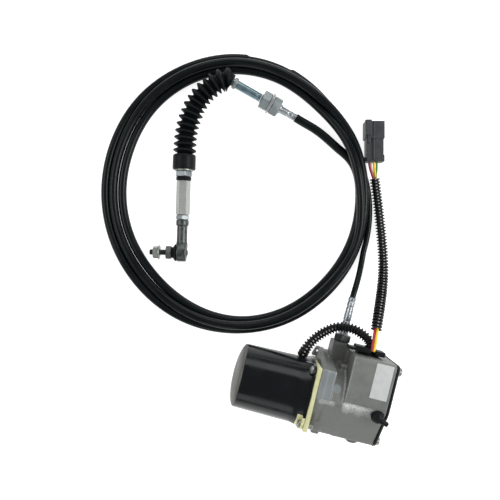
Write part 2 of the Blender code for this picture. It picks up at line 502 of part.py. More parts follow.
def motor():
    """Makes the can with its flange, the adapter plate and what the motor holds."""
    axis = dict(at=(0, SHAFT_Y, SHAFT_Z), along=(1, 0, 0))
    inner = CAN_INNER_R
    steps = 36
    outer = []
    for degrees in (14.0, 32.0, 50.0, 66.0, 80.0):
        a = math.radians(degrees)
        outer.append((CAN_RIM_X - CAN_DOME * math.cos(a), CAN_REAR_R * math.sin(a), 0.0))
    outer += [(CAN_RIM_X, CAN_REAR_R, 0.0), (FLANGE_BACK_X - 12.7, CAN_FRONT_R, 0.0), (FLANGE_BACK_X - 8.2, CAN_FRONT_R, 0.12),
             (FLANGE_BACK_X - 5.3, CAN_FRONT_R, 0.36), (FLANGE_BACK_X - 3.1, CAN_FRONT_R, 0.72), (FLANGE_BACK_X - 1.2, CAN_FRONT_R, 0.95),
             (FLANGE_BACK_X, CAN_FRONT_R, 1.0), (FLANGE_FRONT_X, CAN_FRONT_R, 1.0)]
    seat = BUSH_REAR_R + 0.15
    within = [(FLANGE_FRONT_X, inner, 0.0), (CAN_RIM_X + 1.0, inner, 0.0), (CAN_RIM_X - 1.5, inner - 2.0, 0.0), (CAN_RIM_X - 3.2, inner - 6.0, 0.0),
              (CAN_RIM_X - 3.2, seat + 1.45, 0.0), (CAN_RIM_X + 2.5, seat + 1.45, 0.0), (CAN_RIM_X + 2.5, seat, 0.0), (CAN_RIM_X - 3.7, seat, 0.0)]
    rings = []
    for x, reach, flare in outer + within:
        ring = []
        for i in range(steps):
            a = 2 * math.pi * (i + 0.5) / steps
            corner = min(FLANGE_R, PLATE_HALF_Y / abs(math.cos(a)), PLATE_HALF_Z / abs(math.sin(a)))
            r = reach + flare * max(corner - reach, 0.4)
            ring.append((x, SHAFT_Y + r * math.cos(a), SHAFT_Z + r * math.sin(a)))
        rings.append(ring)
    can = loft("motor_can", rings, GLOSS_BLACK)
    plate_outline = [(SHAFT_Y + a * PLATE_HALF_Y, SHAFT_Z + b * PLATE_HALF_Z) for a, b in ((-1, -1), (1, -1), (1, 1), (-1, 1))]
    plate = prism("adapter_plate", plate_outline, PLATE_BACK_X, PLATE_FRONT_X, "x", YELLOW_ZINC)
    bevelled(plate, 0.6, 1)
    window = turned("cut_plate_window", [(PLATE_BACK_X - 1.0, 0.0), (PLATE_BACK_X - 1.0, BEARING_R + 9.0), (PLATE_FRONT_X + 1.0, BEARING_R + 9.0), (PLATE_FRONT_X + 1.0, 0.0)], segments=24, **axis)
    cut(plate, window)
    for i, (y, z) in enumerate(MOTOR_SCREWS):
        hole = [(FLANGE_BACK_X - 5.7, 0.0), (FLANGE_BACK_X - 5.7, MOTOR_SCREW_R + 0.2), (PLATE_FRONT_X + 0.8, MOTOR_SCREW_R + 0.2), (PLATE_FRONT_X + 0.8, 0.0)]
        through = turned(f"cut_motor_hole_{i + 1}", hole, at=(0, y, z), along=(1, 0, 0), segments=16)
        spot = [(-47.0, 0.0), (-47.0, MOTOR_SCREW_HEAD_R + 0.5), (FLANGE_BACK_X, MOTOR_SCREW_HEAD_R + 0.5), (FLANGE_BACK_X, 0.0)]
        room = turned(f"cut_screw_room_{i + 1}", spot, at=(0, y, z), along=(1, 0, 0), segments=18)
        cut(can, room, through)
        cut(plate, through)
        screw(f"motor_screw_{i + 1}", (FLANGE_BACK_X - 0.1, y, z), (-1, 0, 0), MOTOR_SCREW_R, 12.0, MOTOR_SCREW_HEAD_R, 3.0)
    for i, middle in enumerate((0.0, 180.0)):
        outline = arc((SHAFT_Y, SHAFT_Z), inner - GAP - 0.1, middle - 56.0, middle + 56.0, 14)
        outline += arc((SHAFT_Y, SHAFT_Z), MAGNET_INNER_R, middle + 56.0, middle - 56.0, 14)
        prism(f"field_magnet_{i + 1}", outline, STACK_BACK_X - 4.0, STACK_FRONT_X + 4.0, "x", FERRITE)
    bush = dict(segments=24, at=(0, SHAFT_Y, SHAFT_Z), along=(1, 0, 0))
    turned("rear_bush", [(CAN_RIM_X - 3.4, SHAFT_R + 0.1), (CAN_RIM_X - 3.4, BUSH_REAR_R), (CAN_RIM_X + 3.0, BUSH_REAR_R), (CAN_RIM_X + 3.0, SHAFT_R + 0.1)], BRASS, **bush)
    ball = [(-30.0, SHAFT_R + 0.2), (-30.0, SHAFT_R + 2.0), (-29.3, SHAFT_R + 2.0), (-29.3, BEARING_R - 2.0), (-30.0, BEARING_R - 2.0), (-30.0, BEARING_R),
            (-23.3, BEARING_R), (-23.3, SHAFT_R + 0.2)]
    turned("front_bearing", ball, STEEL, segments=24, at=(0, SHAFT_Y, SHAFT_Z), along=(1, 0, 0))
    disc = turned("brush_plate", [(-44.5, COMMUTATOR_R + 2.5), (-44.5, inner - 0.3), (-42.4, inner - 0.3), (-42.4, COMMUTATOR_R + 2.5)], NYLON, segments=28, **axis)
    for i, side in enumerate((1.0, -1.0)):
        low = sorted((SHAFT_Y + side * (COMMUTATOR_R + 0.4), SHAFT_Y + side * (COMMUTATOR_R + 8.5)))
        box(f"brush_{i + 1}", (FLANGE_BACK_X - 10.9, low[0], SHAFT_Z - 3.0), (-45.0, low[1], SHAFT_Z + 3.0), CARBON)


def rotor():
    """Makes what turns with the motor's shaft, each with its origin on the shaft's axis."""
    hub = (OUT_X, SHAFT_Y, SHAFT_Z)
    axis = dict(at=(0, SHAFT_Y, SHAFT_Z), along=(1, 0, 0), origin=hub)
    outline = []
    for i in range(12):
        a = 360.0 * i / 12
        slot = ARMATURE_R - 4.6
        for off, reach in ((-13.0, ARMATURE_R), (0.0, ARMATURE_R), (13.0, ARMATURE_R), (13.6, slot), (16.4, slot)):
            t = math.radians(a + off)
            outline.append((SHAFT_Y + reach * math.cos(t), SHAFT_Z + reach * math.sin(t)))
    core = prism("armature_core", outline, STACK_BACK_X, STACK_FRONT_X, "x", STEEL, origin=hub)
    bore = turned("cut_core_bore", [(STACK_BACK_X - 3.0, 0.0), (STACK_BACK_X - 3.0, SHAFT_R + 1.6), (STACK_FRONT_X + 2.0, SHAFT_R + 1.6), (STACK_FRONT_X + 2.0, 0.0)], segments=20, at=(0, SHAFT_Y, SHAFT_Z), along=(1, 0, 0))
    cut(core, bore)
    back, front, reach, hold = STACK_BACK_X - GAP, STACK_FRONT_X + GAP, ARMATURE_R - 2.2, SHAFT_R + 0.2
    spool = [(back - 4.2, hold), (back - 4.2, reach - 2.4), (back - 2.7, reach - 0.2), (back, reach), (back, hold + 1.2), (front, hold + 1.2), (front, reach),
             (front + 2.2, reach - 0.8), (front + 3.1, reach - 3.4), (front + 3.1, hold)]
    turned("armature_winding", spool, COPPER, segments=24, **axis)
    turned("commutator", [(-52.2, hold), (-52.2, COMMUTATOR_R + 1.0), (-51.4, COMMUTATOR_R + 1.0), (-51.4, COMMUTATOR_R), (-43.5, COMMUTATOR_R), (-43.0, COMMUTATOR_R - 0.5), (-43.0, hold)], COPPER, segments=24, **axis)
    worm_shaft(hub)


def worm_shaft(hub):
    """Makes the motor's shaft with the worm cut on it.

    The thread's section is a trapezoid with 20 degree flanks, thinned by the backlash. It is swept along
    the helix so its four edges run true, then the plain shaft is joined on.
    """
    steps = 18
    slope = math.tan(math.radians(20.0))
    half_pitch = WORM_LEAD / 4 - BACKLASH / 2
    half_tip = half_pitch - (WORM_TIP_R - WORM_PITCH_R) * slope
    half_root = half_pitch + (WORM_PITCH_R - WORM_ROOT_R) * slope
    edges = [(-half_root, WORM_ROOT_R), (-half_tip, WORM_TIP_R), (half_tip, WORM_TIP_R), (half_root, WORM_ROOT_R)]
    first = -(WORM_TURNS // 2)
    rows = []
    for turn in range(first, first + WORM_TURNS):
        rows += [(OUT_X + turn * WORM_LEAD + shift, reach) for shift, reach in edges]
    points = []
    for j in range(steps):
        a = 2 * math.pi * j / steps
        for x, reach in rows:
            points.append((x + WORM_LEAD * j / steps, SHAFT_Y + reach * math.cos(a), SHAFT_Z + reach * math.sin(a)))
    count = len(rows)
    faces = []
    for j in range(steps - 1):
        for m in range(count - 1):
            faces.append((j * count + m, j * count + m + 1, (j + 1) * count + m + 1, (j + 1) * count + m))
    last = (steps - 1) * count
    for m in range(count - 5):
        faces.append((last + m, last + m + 1, m + 5, m + 4))
    low = len(points)
    points.append((rows[0][0] + 0.2, SHAFT_Y, SHAFT_Z))
    high = len(points)
    points.append((rows[-1][0] + WORM_LEAD - 0.2, SHAFT_Y, SHAFT_Z))
    rim = [j * count for j in range(steps)] + [4, 3, 2, 1]
    for a, b in zip(rim, rim[1:] + rim[:1]):
        faces.append((a, b, low))
    top = [j * count + count - 1 for j in range(steps)]
    seam = [last + m for m in range(count - 1, count - 6, -1)]
    rim = [count - 1] + top[1:] + seam[1:]
    for a, b in zip(rim, rim[1:] + rim[:1]):
        faces.append((b, a, high))
    thread = solid("add_worm_thread", points, faces)
    body = [(-103.8, 0.0), (-103.8, SHAFT_R - 0.5), (-103.3, SHAFT_R), (29.6, SHAFT_R), (30.2, SHAFT_R - 0.5), (30.2, 0.0)]
    shaft = turned("worm_shaft", body, STEEL, at=(0, SHAFT_Y, SHAFT_Z), along=(1, 0, 0), segments=20, origin=hub)
    join(shaft, thread)


def gear_train():
    """Makes the worm wheel, the output shaft with its bushes, the drum, the sensor and the core wire."""
    centre = (OUT_X, OUT_Y, 0.0)
    slope = math.tan(math.radians(20.0))
    tooth = 2 * math.pi / WHEEL_TEETH
    half_pitch = (WORM_LEAD / 4 - BACKLASH / 2) / WHEEL_PITCH_R
    half_tip = half_pitch - (WHEEL_TIP_R - WHEEL_PITCH_R) * slope / WHEEL_PITCH_R - 0.002
    half_root = half_pitch + (WHEEL_PITCH_R - WHEEL_ROOT_R) * slope / WHEEL_PITCH_R
    rings = []
    middle = 0.5 * (WHEEL_LOW_Z + WHEEL_HIGH_Z)
    for z in (WHEEL_LOW_Z, WHEEL_HIGH_Z):
        lean = (z - middle) * (WORM_LEAD / (2 * math.pi * WORM_PITCH_R)) / WHEEL_PITCH_R
        ring = []
        for i in range(WHEEL_TEETH):
            a = -math.pi / 2 + (i + 0.5) * tooth + lean
            for off, reach in ((-half_root, WHEEL_ROOT_R), (-half_pitch, WHEEL_PITCH_R), (-half_tip, WHEEL_TIP_R),
                               (half_tip, WHEEL_TIP_R), (half_pitch, WHEEL_PITCH_R), (half_root, WHEEL_ROOT_R)):
                ring.append((OUT_X + reach * math.cos(a + off), OUT_Y + reach * math.sin(a + off), z))
        rings.append(ring)
    wheel = loft("worm_wheel", rings, BRASS, origin=(OUT_X, OUT_Y, middle))
    cut(wheel, turned("cut_wheel_bore", [(WHEEL_LOW_Z - 8.0, 0.0), (WHEEL_LOW_Z - 8.0, OUT_R + 0.12), (WHEEL_HIGH_Z + 6.0, OUT_R + 0.12), (WHEEL_HIGH_Z + 6.0, 0.0)], at=centre, segments=24))
    turned("output_shaft", [(1.0, 0.0), (1.0, OUT_R - 0.6), (1.6, OUT_R), (TOP_Z - 4.6, OUT_R), (TOP_Z - 4.0, OUT_R - 0.6), (TOP_Z - 4.0, 0.0)], STEEL, at=centre, segments=24, origin=(OUT_X, OUT_Y, middle))
    groove = DRUM_WIRE_R - WIRE_R - GAP
    drum = [(DRUM_LOW_Z, OUT_R + 0.12), (DRUM_LOW_Z, DRUM_FLANGE_R), (DRUM_LOW_Z + 1.8, DRUM_FLANGE_R), (DRUM_LOW_Z + 2.6, groove), (DRUM_HIGH_Z - 2.6, groove), (DRUM_HIGH_Z - 1.8, DRUM_FLANGE_R), (DRUM_HIGH_Z, DRUM_FLANGE_R), (DRUM_HIGH_Z, OUT_R + 0.12)]
    turned("cable_drum", drum, NYLON, at=centre, segments=30, origin=(OUT_X, OUT_Y, WIRE_Z))
    turned("shaft_bush_lower", [(0.6, OUT_R + RUNNING), (0.6, BUSH_R), (FLOOR_BUSH_Z, BUSH_R), (FLOOR_BUSH_Z, OUT_R + RUNNING)], BRASS, at=centre, segments=24)
    turned("shaft_bush_upper", [(TOP_Z - 12.0, OUT_R + RUNNING), (TOP_Z - 12.0, BUSH_R), (TOP_Z - 3.7, BUSH_R), (TOP_Z - 3.7, OUT_R + RUNNING)], BRASS, at=centre, segments=24)
    case = [(OUT_X + a, OUT_Y + b) for a, b in ((-7.3, -11), (-6, -13), (13, -13), (15, -11), (15, 11), (13, 13), (-6, 13), (-7.3, 11))]
    sensor = prism("position_sensor", case, SENSOR_LOW_Z, SENSOR_HIGH_Z, "z", GLOSS_BLACK)
    cut(sensor, turned("cut_sensor_bore", [(SENSOR_LOW_Z - 1.5, 0.0), (SENSOR_LOW_Z - 1.5, OUT_R + 0.4), (SENSOR_HIGH_Z + 1.2, OUT_R + 0.4), (SENSOR_HIGH_Z + 1.2, 0.0)], at=centre, segments=24))
    turned("core_wire", [(OUT_Y + 1.0, 0.0), (OUT_Y + 1.0, WIRE_R), (FERRULE_END_Y - 2.0, WIRE_R), (FERRULE_END_Y - 2.0, 0.0)], STEEL,
           at=(WIRE_X, 0, WIRE_Z), along=(0, 1, 0), segments=10, origin=(WIRE_X, OUT_Y, WIRE_Z))


def hex_nut(name, at, along, start, end, flats, bore, finish, origin=None, washer=None):
    """Makes a hexagon nut with chamfered faces along an axis, with a round washer foot when asked."""
    edge = 0.5 * flats
    chamfer = 0.12 * edge
    profile = [(start, bore), (start, 0.93 * edge), (start + chamfer, edge), (end - chamfer, edge), (end, 0.93 * edge), (end, bore)]
    sides = [0, 0, 6, 6, 0, 0]
    if washer:
        profile[1:3] = [(start, washer), (start + 1.4, washer), (start + 2.0, edge)]
        sides[1:3] = [0, 0, 6]
    turned(name, profile, finish, at=at, along=along, segments=12, sides=sides, origin=origin)


def cable_entry():
    """Makes the gland nut and the ferrule in which the cable's conduit ends."""
    axis = dict(at=(WIRE_X, 0, WIRE_Z), along=(0, 1, 0))
    bore = WIRE_R + GAP
    start, end = FERRULE_START_Y, FERRULE_END_Y
    profile = [(start, bore), (start, 4.4), (start + 12.4, 4.4), (start + 13.4, 3.9), (end - 16.0, 3.9), (end - 15.0, 3.6), (end - 0.8, 3.6), (end, 3.2), (end, bore)]
    turned("entry_ferrule", profile, ZINC, segments=20, **axis)
    hex_nut("gland_nut", (WIRE_X, 0, WIRE_Z), (0, 1, 0), start, start + 6.4, 15.0, 4.4 + GAP, ZINC)


def cable():
    """Makes the cable: its lead in, the coil as one flat ring, and its lead out."""
    route = [(WIRE_X, FERRULE_END_Y + 0.5, WIRE_Z), (WIRE_X + 0.1, 93.0, WIRE_Z - 0.2), (-12.6, 99.5, 16.8), (-11.4, 107.5, 13.0), (-11.5, 115.5, 9.0), (-13.2, 122.9, 6.6)]
    tube("cable_lead_in", route, SLEEVE_R, SATIN_BLACK, 7.0, 2)
    rings = []
    steps = 56
    count = len(COIL_OUTER)
    for i in range(steps):
        where = i * count / steps
        k = int(where)
        t = where - k
        radii = []
        for values in (COIL_INNER, COIL_OUTER):
            a, b, c, d = (values[(k + n) % count] for n in (-1, 0, 1, 2))
            radii.append(0.5 * (2 * b + (c - a) * t + (2 * a - 5 * b + 4 * c - d) * t ** 2 + (3 * b - a - 3 * c + d) * t ** 3))
        inner, outer = radii
        angle = 2 * math.pi * i / steps
        ring = []
        soft = 0.5 * COIL_HEIGHT
        for reach, z in ((inner, soft), (inner + 1.2, COIL_HEIGHT - 1.2), (inner + soft, COIL_HEIGHT), (outer - soft, COIL_HEIGHT),
                         (outer - 1.2, COIL_HEIGHT - 1.2), (outer, soft), (outer - 1.2, 1.2), (outer - soft, 0.0),
                         (inner + soft, 0.0), (inner + 1.2, 1.2)):
            ring.append(table(COIL_CENTRE[0] + reach * math.cos(angle), COIL_CENTRE[1] + reach * math.sin(angle), z))
        rings.append(ring)
    loft("cable_coil", rings, SATIN_BLACK, loop=True, sharp=60.0)
    leave = [table(88.3, 99.7, 5.0), table(80.0, 107.0, 6.0), table(66.0, 118.0, 7.4), table(*HUB_START) - HUB_DIRECTION * 0.5]
    tube("cable_lead_out", leave, SLEEVE_R, SATIN_BLACK, 7.0, 2)


HUB_DIRECTION = (table(*HUB_END) - table(*HUB_START)).normalized()
BELLOWS_ROUTE = [(-17.9, 163.5, 18.0), (-26.1, 164.4, 19.4), (-31.9, 162.0, 19.4), (-37.5, 158.2, 18.6), (-42.7, 154.0, 17.8),
                 (-47.2, 149.4, 16.8), (-50.9, 144.4, 15.8), (-54.6, 138.4, 14.8), (-57.2, 132.2, 14.0), (-59.6, 126.0, 13.3),
                 (-61.4, 119.6, 12.7), (-62.6, 113.0, 12.2), (-63.4, 106.6, 11.8), (-63.8, 100.3, END_Z)]
BELLOWS_PEAK_R = 11.4
BELLOWS_VALLEY_R = 6.9
BELLOWS_WALL = 1.1
BELLOWS_FOLDS = 15
CUFF_LENGTH = 15.7


def hub():
    """Makes the hub at the cable's far end with its nuts, washers, support tube and cap."""
    base = table(*HUB_START)
    axis = dict(at=base, along=HUB_DIRECTION)
    turned("hub_ferrule", [(0.2, 1.6), (0.2, 3.4), (1.0, 3.6), (18.8, 3.6), (19.6, 5.0), (41.0, 5.0), (41.0, 1.6)], ZINC, segments=20, **axis)
    hex_nut("hub_nut_1", base, HUB_DIRECTION, 20.5, 28.9, 17.0, 5.3, ZINC)
    turned("lock_washer_1", [(29.2, 5.35), (29.2, 10.4), (30.1, 10.4), (30.1, 5.35)], STEEL, segments=20, **axis)
    turned("lock_washer_2", [(30.5, 5.35), (30.5, 10.4), (31.4, 10.4), (31.4, 5.35)], STEEL, segments=20, **axis)
    hex_nut("hub_nut_2", base, HUB_DIRECTION, 31.7, 40.2, 17.0, 5.3, ZINC)
    turned("support_tube", [(41.4, 2.2), (41.4, 4.1), (73.4, 4.1), (73.4, 2.2)], TUBE_ZINC, segments=20, **axis)
    turned("tube_cap", [(68.0, 4.4), (68.0, 5.6), (71.4, 5.6), (71.4, 4.4)], STEEL, segments=20, **axis)


def end_axis_point(down):
    """Gives a point on the end assembly's axis, a distance down from the top of the cuff."""
    return table(END_TOP[0] + END_RUN[0] * down, END_TOP[1] + END_RUN[1] * down, END_Z)


END_DIRECTION = table_direction(*END_RUN)
SLIDE_ORIGIN = end_axis_point(0.0)
BALL_DOWN = 97.2
BALL = end_axis_point(BALL_DOWN)
STUD_DIRECTION = table_direction(END_RUN[1], -END_RUN[0])


def bellows():
    """Makes the rubber bellows along its bend, with its folds, inner wall and smooth cuff."""
    mouth = table(*HUB_START) + HUB_DIRECTION * 73.2
    route = [mouth, mouth + HUB_DIRECTION * 3.0] + [table(*p) for p in BELLOWS_ROUTE[1:]] + [end_axis_point(0.0)]
    path = smooth_path(route, 2.0)
    far = [0.0]
    for a, b in zip(path, path[1:]):
        far.append(far[-1] + (b - a).length)
    total = far[-1]
    pitch = total / BELLOWS_FOLDS
    stations = []
    lip = 2.2
    stations.append((0.0, 6.6, 5.0))
    stations.append((lip, 6.9, 5.0))
    for i in range(BELLOWS_FOLDS):
        start = lip + (total - lip) * i / BELLOWS_FOLDS
        step = (total - lip) / BELLOWS_FOLDS
        for share, reach in ((0.08, BELLOWS_VALLEY_R), (0.40, BELLOWS_PEAK_R - 0.3), (0.60, BELLOWS_PEAK_R), (0.92, BELLOWS_VALLEY_R + 0.6)):
            stations.append((start + share * step, reach, reach - BELLOWS_WALL))
    rings = []
    segments = 16

    def at(distance):
        k = min(max(int(distance / total * (len(path) - 1)), 0), len(path) - 2)
        share = distance / total * (len(path) - 1) - k
        return path[k].lerp(path[k + 1], share), k
    frames = along_path(path)

    def ring(distance, reach):
        if distance <= total:
            place, k = at(distance)
            ahead, side, up = frames[k]
        else:
            ahead, side, up = frames[-1]
            place = path[-1] + END_DIRECTION * (distance - total)
        made = []
        for n in range(segments):
            a = 2 * math.pi * n / segments
            made.append(place + side * (reach * math.cos(a)) + up * (reach * math.sin(a)))
        return made
    cuff = [(total + 0.3, BELLOWS_VALLEY_R + 1.2, 6.6), (total + 0.6, 11.0, 9.0), (total + CUFF_LENGTH - 0.8, 11.2, 9.6),
            (total + CUFF_LENGTH, 10.4, 9.6)]
    outward = [ring(s, r) for s, r, _ in stations + cuff]
    thin = [row for i, row in enumerate(stations) if i < 2 or (i - 2) % 4 in (0, 2)]
    inward = [ring(s, r) for s, _, r in reversed(thin + cuff)]
    loft("bellows", outward + inward, RUBBER, loop=True, sharp=50.0)
    inner_route = [table(*HUB_START) + HUB_DIRECTION * 73.8] + [table(*p) for p in BELLOWS_ROUTE[1:]] + [end_axis_point(1.5)]
    tube("core_wire_end", inner_route, WIRE_R, STEEL, 6.0, 1)


def rod_side():
    """Makes what slides with the rod: end rod, nuts, coupler, rod end, and the ball stud with its boot and nut."""
    o = SLIDE_ORIGIN
    axis = dict(at=o, along=END_DIRECTION, origin=o)
    turned("end_rod", [(2.0, 0.0), (2.0, 3.0), (14.9, 3.0), (14.9, 9.0), (17.1, 9.0), (17.1, 3.0), (38.0, 3.0), (38.0, 0.0)], ZINC, segments=20, **axis)
    hex_nut("jam_nut_upper", o, END_DIRECTION, 17.4, 22.6, 15.0, 3.0 + GAP, ZINC, origin=o)
    turned("wiper_ring", [(23.0, 3.3), (23.0, 7.2), (23.6, 7.5), (25.6, 7.5), (26.2, 7.2), (26.2, 3.3)], RUBBER, segments=24, **axis)
    hex_nut("hex_coupler", o, END_DIRECTION, 26.5, 60.0, 12.0, 3.0 + GAP, COUPLER_GREY, origin=o)
    hex_nut("jam_nut_lower", o, END_DIRECTION, 60.4, 64.8, 11.8, 3.0 + GAP, ZINC, origin=o)
    rod_end(o)
    stud = dict(at=BALL, along=STUD_DIRECTION, origin=BALL)
    ball = [(-BALL_R, 0.0)]
    for i in range(1, 8):
        a = math.radians(180.0 - i * 180.0 / 9)
        ball.append((BALL_R * math.cos(a), BALL_R * math.sin(a)))
    ball += [(5.6, 2.8), (9.9, 2.8), (9.9, 6.2), (15.2, 6.2), (15.2, 2.9), (30.5, 2.9), (31.2, 2.2), (31.2, 0.0)]
    sides = [0] * (len(ball) - 8) + [0, 0, 6, 6, 0, 0, 0, 0]
    turned("ball_stud", ball, ROD_ZINC, segments=18, sides=sides, **stud)
    boot = [(5.1, 6.6), (5.1, 8.3), (5.9, 8.5), (7.3, 7.2), (8.3, 5.4), (9.6, 5.3), (9.6, 3.1), (7.6, 3.1), (6.6, 5.6), (6.0, 6.4)]
    turned("ball_boot", boot, RUBBER, segments=20, **stud)
    hex_nut("flange_nut", BALL, STUD_DIRECTION, 21.4, 27.8, 10.8, 2.9 + GAP, ZINC, origin=BALL, washer=7.0)


BALL_R = 6.4


def rod_end(o):
    """Makes the rod end: threaded shank, collar, neck and the ring that holds the ball."""
    profile = [(45.0, 0.0), (45.0, 3.0), (65.1, 3.0), (65.1, 5.9), (65.8, 6.2), (70.6, 6.2), (71.2, 5.2), (88.5, 5.0), (90.8, 4.4), (90.8, 0.0)]
    made = turned("rod_end", profile, ROD_ZINC, at=o, along=END_DIRECTION, segments=20, origin=o)
    ring = turned("add_ball_ring", [(-4.7, 0.0), (-4.7, 7.4), (-3.6, 8.55), (3.6, 8.55), (4.7, 7.4), (4.7, 0.0)], at=BALL, along=STUD_DIRECTION, segments=24)
    join(made, ring)
    socket = []
    reach = BALL_R + 0.3
    edge = math.degrees(math.acos(4.7 / reach))
    socket.append((-reach - 0.5, 0.0))
    socket.append((-reach - 0.5, reach * math.sin(math.radians(edge))))
    for i in range(7):
        a = math.radians(180.0 - edge - i * (180.0 - 2 * edge) / 6)
        socket.append((reach * math.cos(a), reach * math.sin(a)))
    socket.append((reach + 0.5, reach * math.sin(math.radians(edge))))
    socket.append((reach + 0.5, 0.0))
    cut(made, turned("cut_socket", socket, at=BALL, along=STUD_DIRECTION, segments=16))


def wiring():
    """Makes the grommet, the vent elbow, the two looms, the wires in the harness and the connector."""
    grommet = box("grommet", (HOLE_LOW[0] - 7.0, BOX_HALF_Y + GAP, HOLE_LOW[1] - 2.4), (HOLE_HIGH[0] + 5.0, BOX_HALF_Y + 5.6, HOLE_HIGH[1] + 3.0), RUBBER)
    bevelled(grommet, 1.6, 2)
    plug = box("add_grommet_plug", (HOLE_LOW[0] + GAP, BOX_HALF_Y - 5.0, HOLE_LOW[1] + GAP), (HOLE_HIGH[0] - GAP, BOX_HALF_Y + 1.5, HOLE_HIGH[1] - GAP))
    join(grommet, plug)
    slope = Vector((0, SHOULDER_Z - TOP_Z + 1.2, TOP_EDGE_Y - 4.0 - SHOULDER_Y)).normalized()
    seat = Vector((BOX_FRONT_X - 6.9, -8.8, TOP_Z - 2.0)) + slope * GAP
    vent = turned("vent_elbow", [(0.2, 0.0), (0.2, 6.0), (3.0, 6.0), (4.4, 5.2), (7.0, 3.4), (7.6, 2.0), (7.6, 0.0)], RUBBER, at=seat, along=slope, segments=20)
    nipple = turned("add_vent_nipple", [(0.0, 0.0), (0.0, 3.1), (9.6, 2.2), (10.4, 1.6), (10.4, 0.0)], at=seat + slope * 4.4, along=(0.93, -0.30, 0.08), segments=16)
    join(vent, nipple)
    motor_route = [(-55.0, 26.2, 32.0), (-44.0, 38.1, 33.0), (-37.2, 48.0, 33.5), (-29.7, 55.0, 34.0), (-18.3, 58.4, 35.0),
                   (-9.2, 58.5, 36.0), (1.7, 55.7, 37.5), (7.0, 53.0, 39.0), (9.8, 51.6, 39.7), (10.2, 47.4, 40.0)]
    tube("motor_loom", motor_route, 4.5, SATIN_BLACK, 6.0, 2)
    wires = [(11.0, 46.0, 46.6), (10.6, 54.0, 46.6), (10.4, 65.2, 44.0), (10.3, 77.0, 38.0), (11.8, 98.4, 24.0), (10.8, 120.4, 12.0),
             (6.8, 142.5, 6.4), (-2.4, 171.5, 5.9), (-15.6, 206.7, 5.9), tuple(table(121.3, 85.2, 6.8))]
    path = smooth_path(wires[2:9], 9.0)
    frames = along_path(path)
    rings = []
    for reach, order in ((5.1, 1), (2.8, -1)):
        for place, (ahead, side, up) in list(zip(path, frames))[::order]:
            rings.append([place + side * (reach * math.cos(2 * math.pi * n / 10)) + up * (reach * math.sin(2 * math.pi * n / 10)) for n in range(10)])
    loft("harness_loom", rings, SATIN_BLACK, loop=True, sharp=60.0)
    tube("harness_wires", wires, 2.2, WIRE_RED, 8.0, 2)
    connector()


def connector():
    """Makes the connector lying on the table at the harness's end."""
    low = [(113.2, 86.6), (131.6, 86.6), (131.6, 93.4), (131.0, 93.4), (131.0, 109.0), (131.6, 109.0), (131.6, 126.8), (112.6, 126.8),
           (112.6, 109.0), (114.0, 109.0), (114.0, 93.4), (113.2, 93.4)]
    rings = [[tuple(table(x, y, z)) for x, y in low] for z in (0.3, 14.6)]
    made = loft("connector", rings, CONNECTOR_GREY)
    latch = [[tuple(table(x, y, z)) for x, y in ((112.9, 115.0), (118.6, 115.0), (118.6, 126.5), (112.9, 126.5))] for z in (13.0, 17.2)]
    join(made, loft("add_latch", latch))


clear_scene()
housing()
end_cover()
motor()
rotor()
gear_train()
cable_entry()
cable()
hub()
bellows()
rod_side()
wiring()
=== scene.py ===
"""The look of the engine governor actuator: gearbox, motor, control cable, bellows end and wiring.

Sizes are in millimetres inside the classes and become metres where a mesh is made. Shapes are worked
out as numpy arrays, each one a grid of two parameters or a field of distances on a lattice.
"""
import logging
import math
from dataclasses import dataclass, field, replace
from enum import Enum
from typing import Callable, Sequence

import bpy
import numpy as np
from mathutils import Matrix


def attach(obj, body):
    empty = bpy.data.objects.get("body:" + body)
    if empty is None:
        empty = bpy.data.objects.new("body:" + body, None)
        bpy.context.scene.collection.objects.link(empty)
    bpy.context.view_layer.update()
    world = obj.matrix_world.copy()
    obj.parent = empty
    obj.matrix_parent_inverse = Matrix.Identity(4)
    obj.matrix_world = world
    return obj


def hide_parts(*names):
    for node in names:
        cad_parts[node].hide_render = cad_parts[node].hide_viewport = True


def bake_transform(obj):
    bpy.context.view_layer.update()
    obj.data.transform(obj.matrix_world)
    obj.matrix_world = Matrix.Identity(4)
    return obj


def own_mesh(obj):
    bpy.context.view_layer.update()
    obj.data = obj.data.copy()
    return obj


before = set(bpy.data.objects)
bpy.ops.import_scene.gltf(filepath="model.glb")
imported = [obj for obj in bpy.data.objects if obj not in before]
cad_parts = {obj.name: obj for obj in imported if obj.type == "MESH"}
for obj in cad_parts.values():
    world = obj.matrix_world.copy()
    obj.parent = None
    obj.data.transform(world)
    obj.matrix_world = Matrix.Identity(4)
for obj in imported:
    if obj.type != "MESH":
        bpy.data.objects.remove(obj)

# Metres in a millimetre, and in degrees the table's turn and the angle past which an edge stays sharp
MM = 0.001
TURN_DEGREES = 14.0
TURN = math.radians(TURN_DEGREES)
SHARP = 35.0

# In mm, the picture's centre in the actuator's axes and the looms' pitch
PICTURE_CENTRE = (-121.0, 108.5)
LOOM_PITCH = 3.02

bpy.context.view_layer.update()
log = logging.getLogger("governor_actuator")

Array = np.ndarray
Colour = tuple[float, float, float]
Point = tuple[float, float, float]
Profile = Sequence[Sequence[float]]
Piece = bpy.types.Object
Socket = bpy.types.NodeSocket


class Body(Enum):
    """The bodies of the frame that this script's pieces ride on."""

    ACTUATOR = "actuator"
    ROD = "rod"
    STUD = "stud"


def vector(*values: float) -> Array:
    """Gives the values as an array of floats."""
    return np.array(values, float)


def unit(value: Array) -> Array:
    """Gives vectors scaled to a length of one."""
    return value / np.linalg.norm(value, axis=-1, keepdims=True)


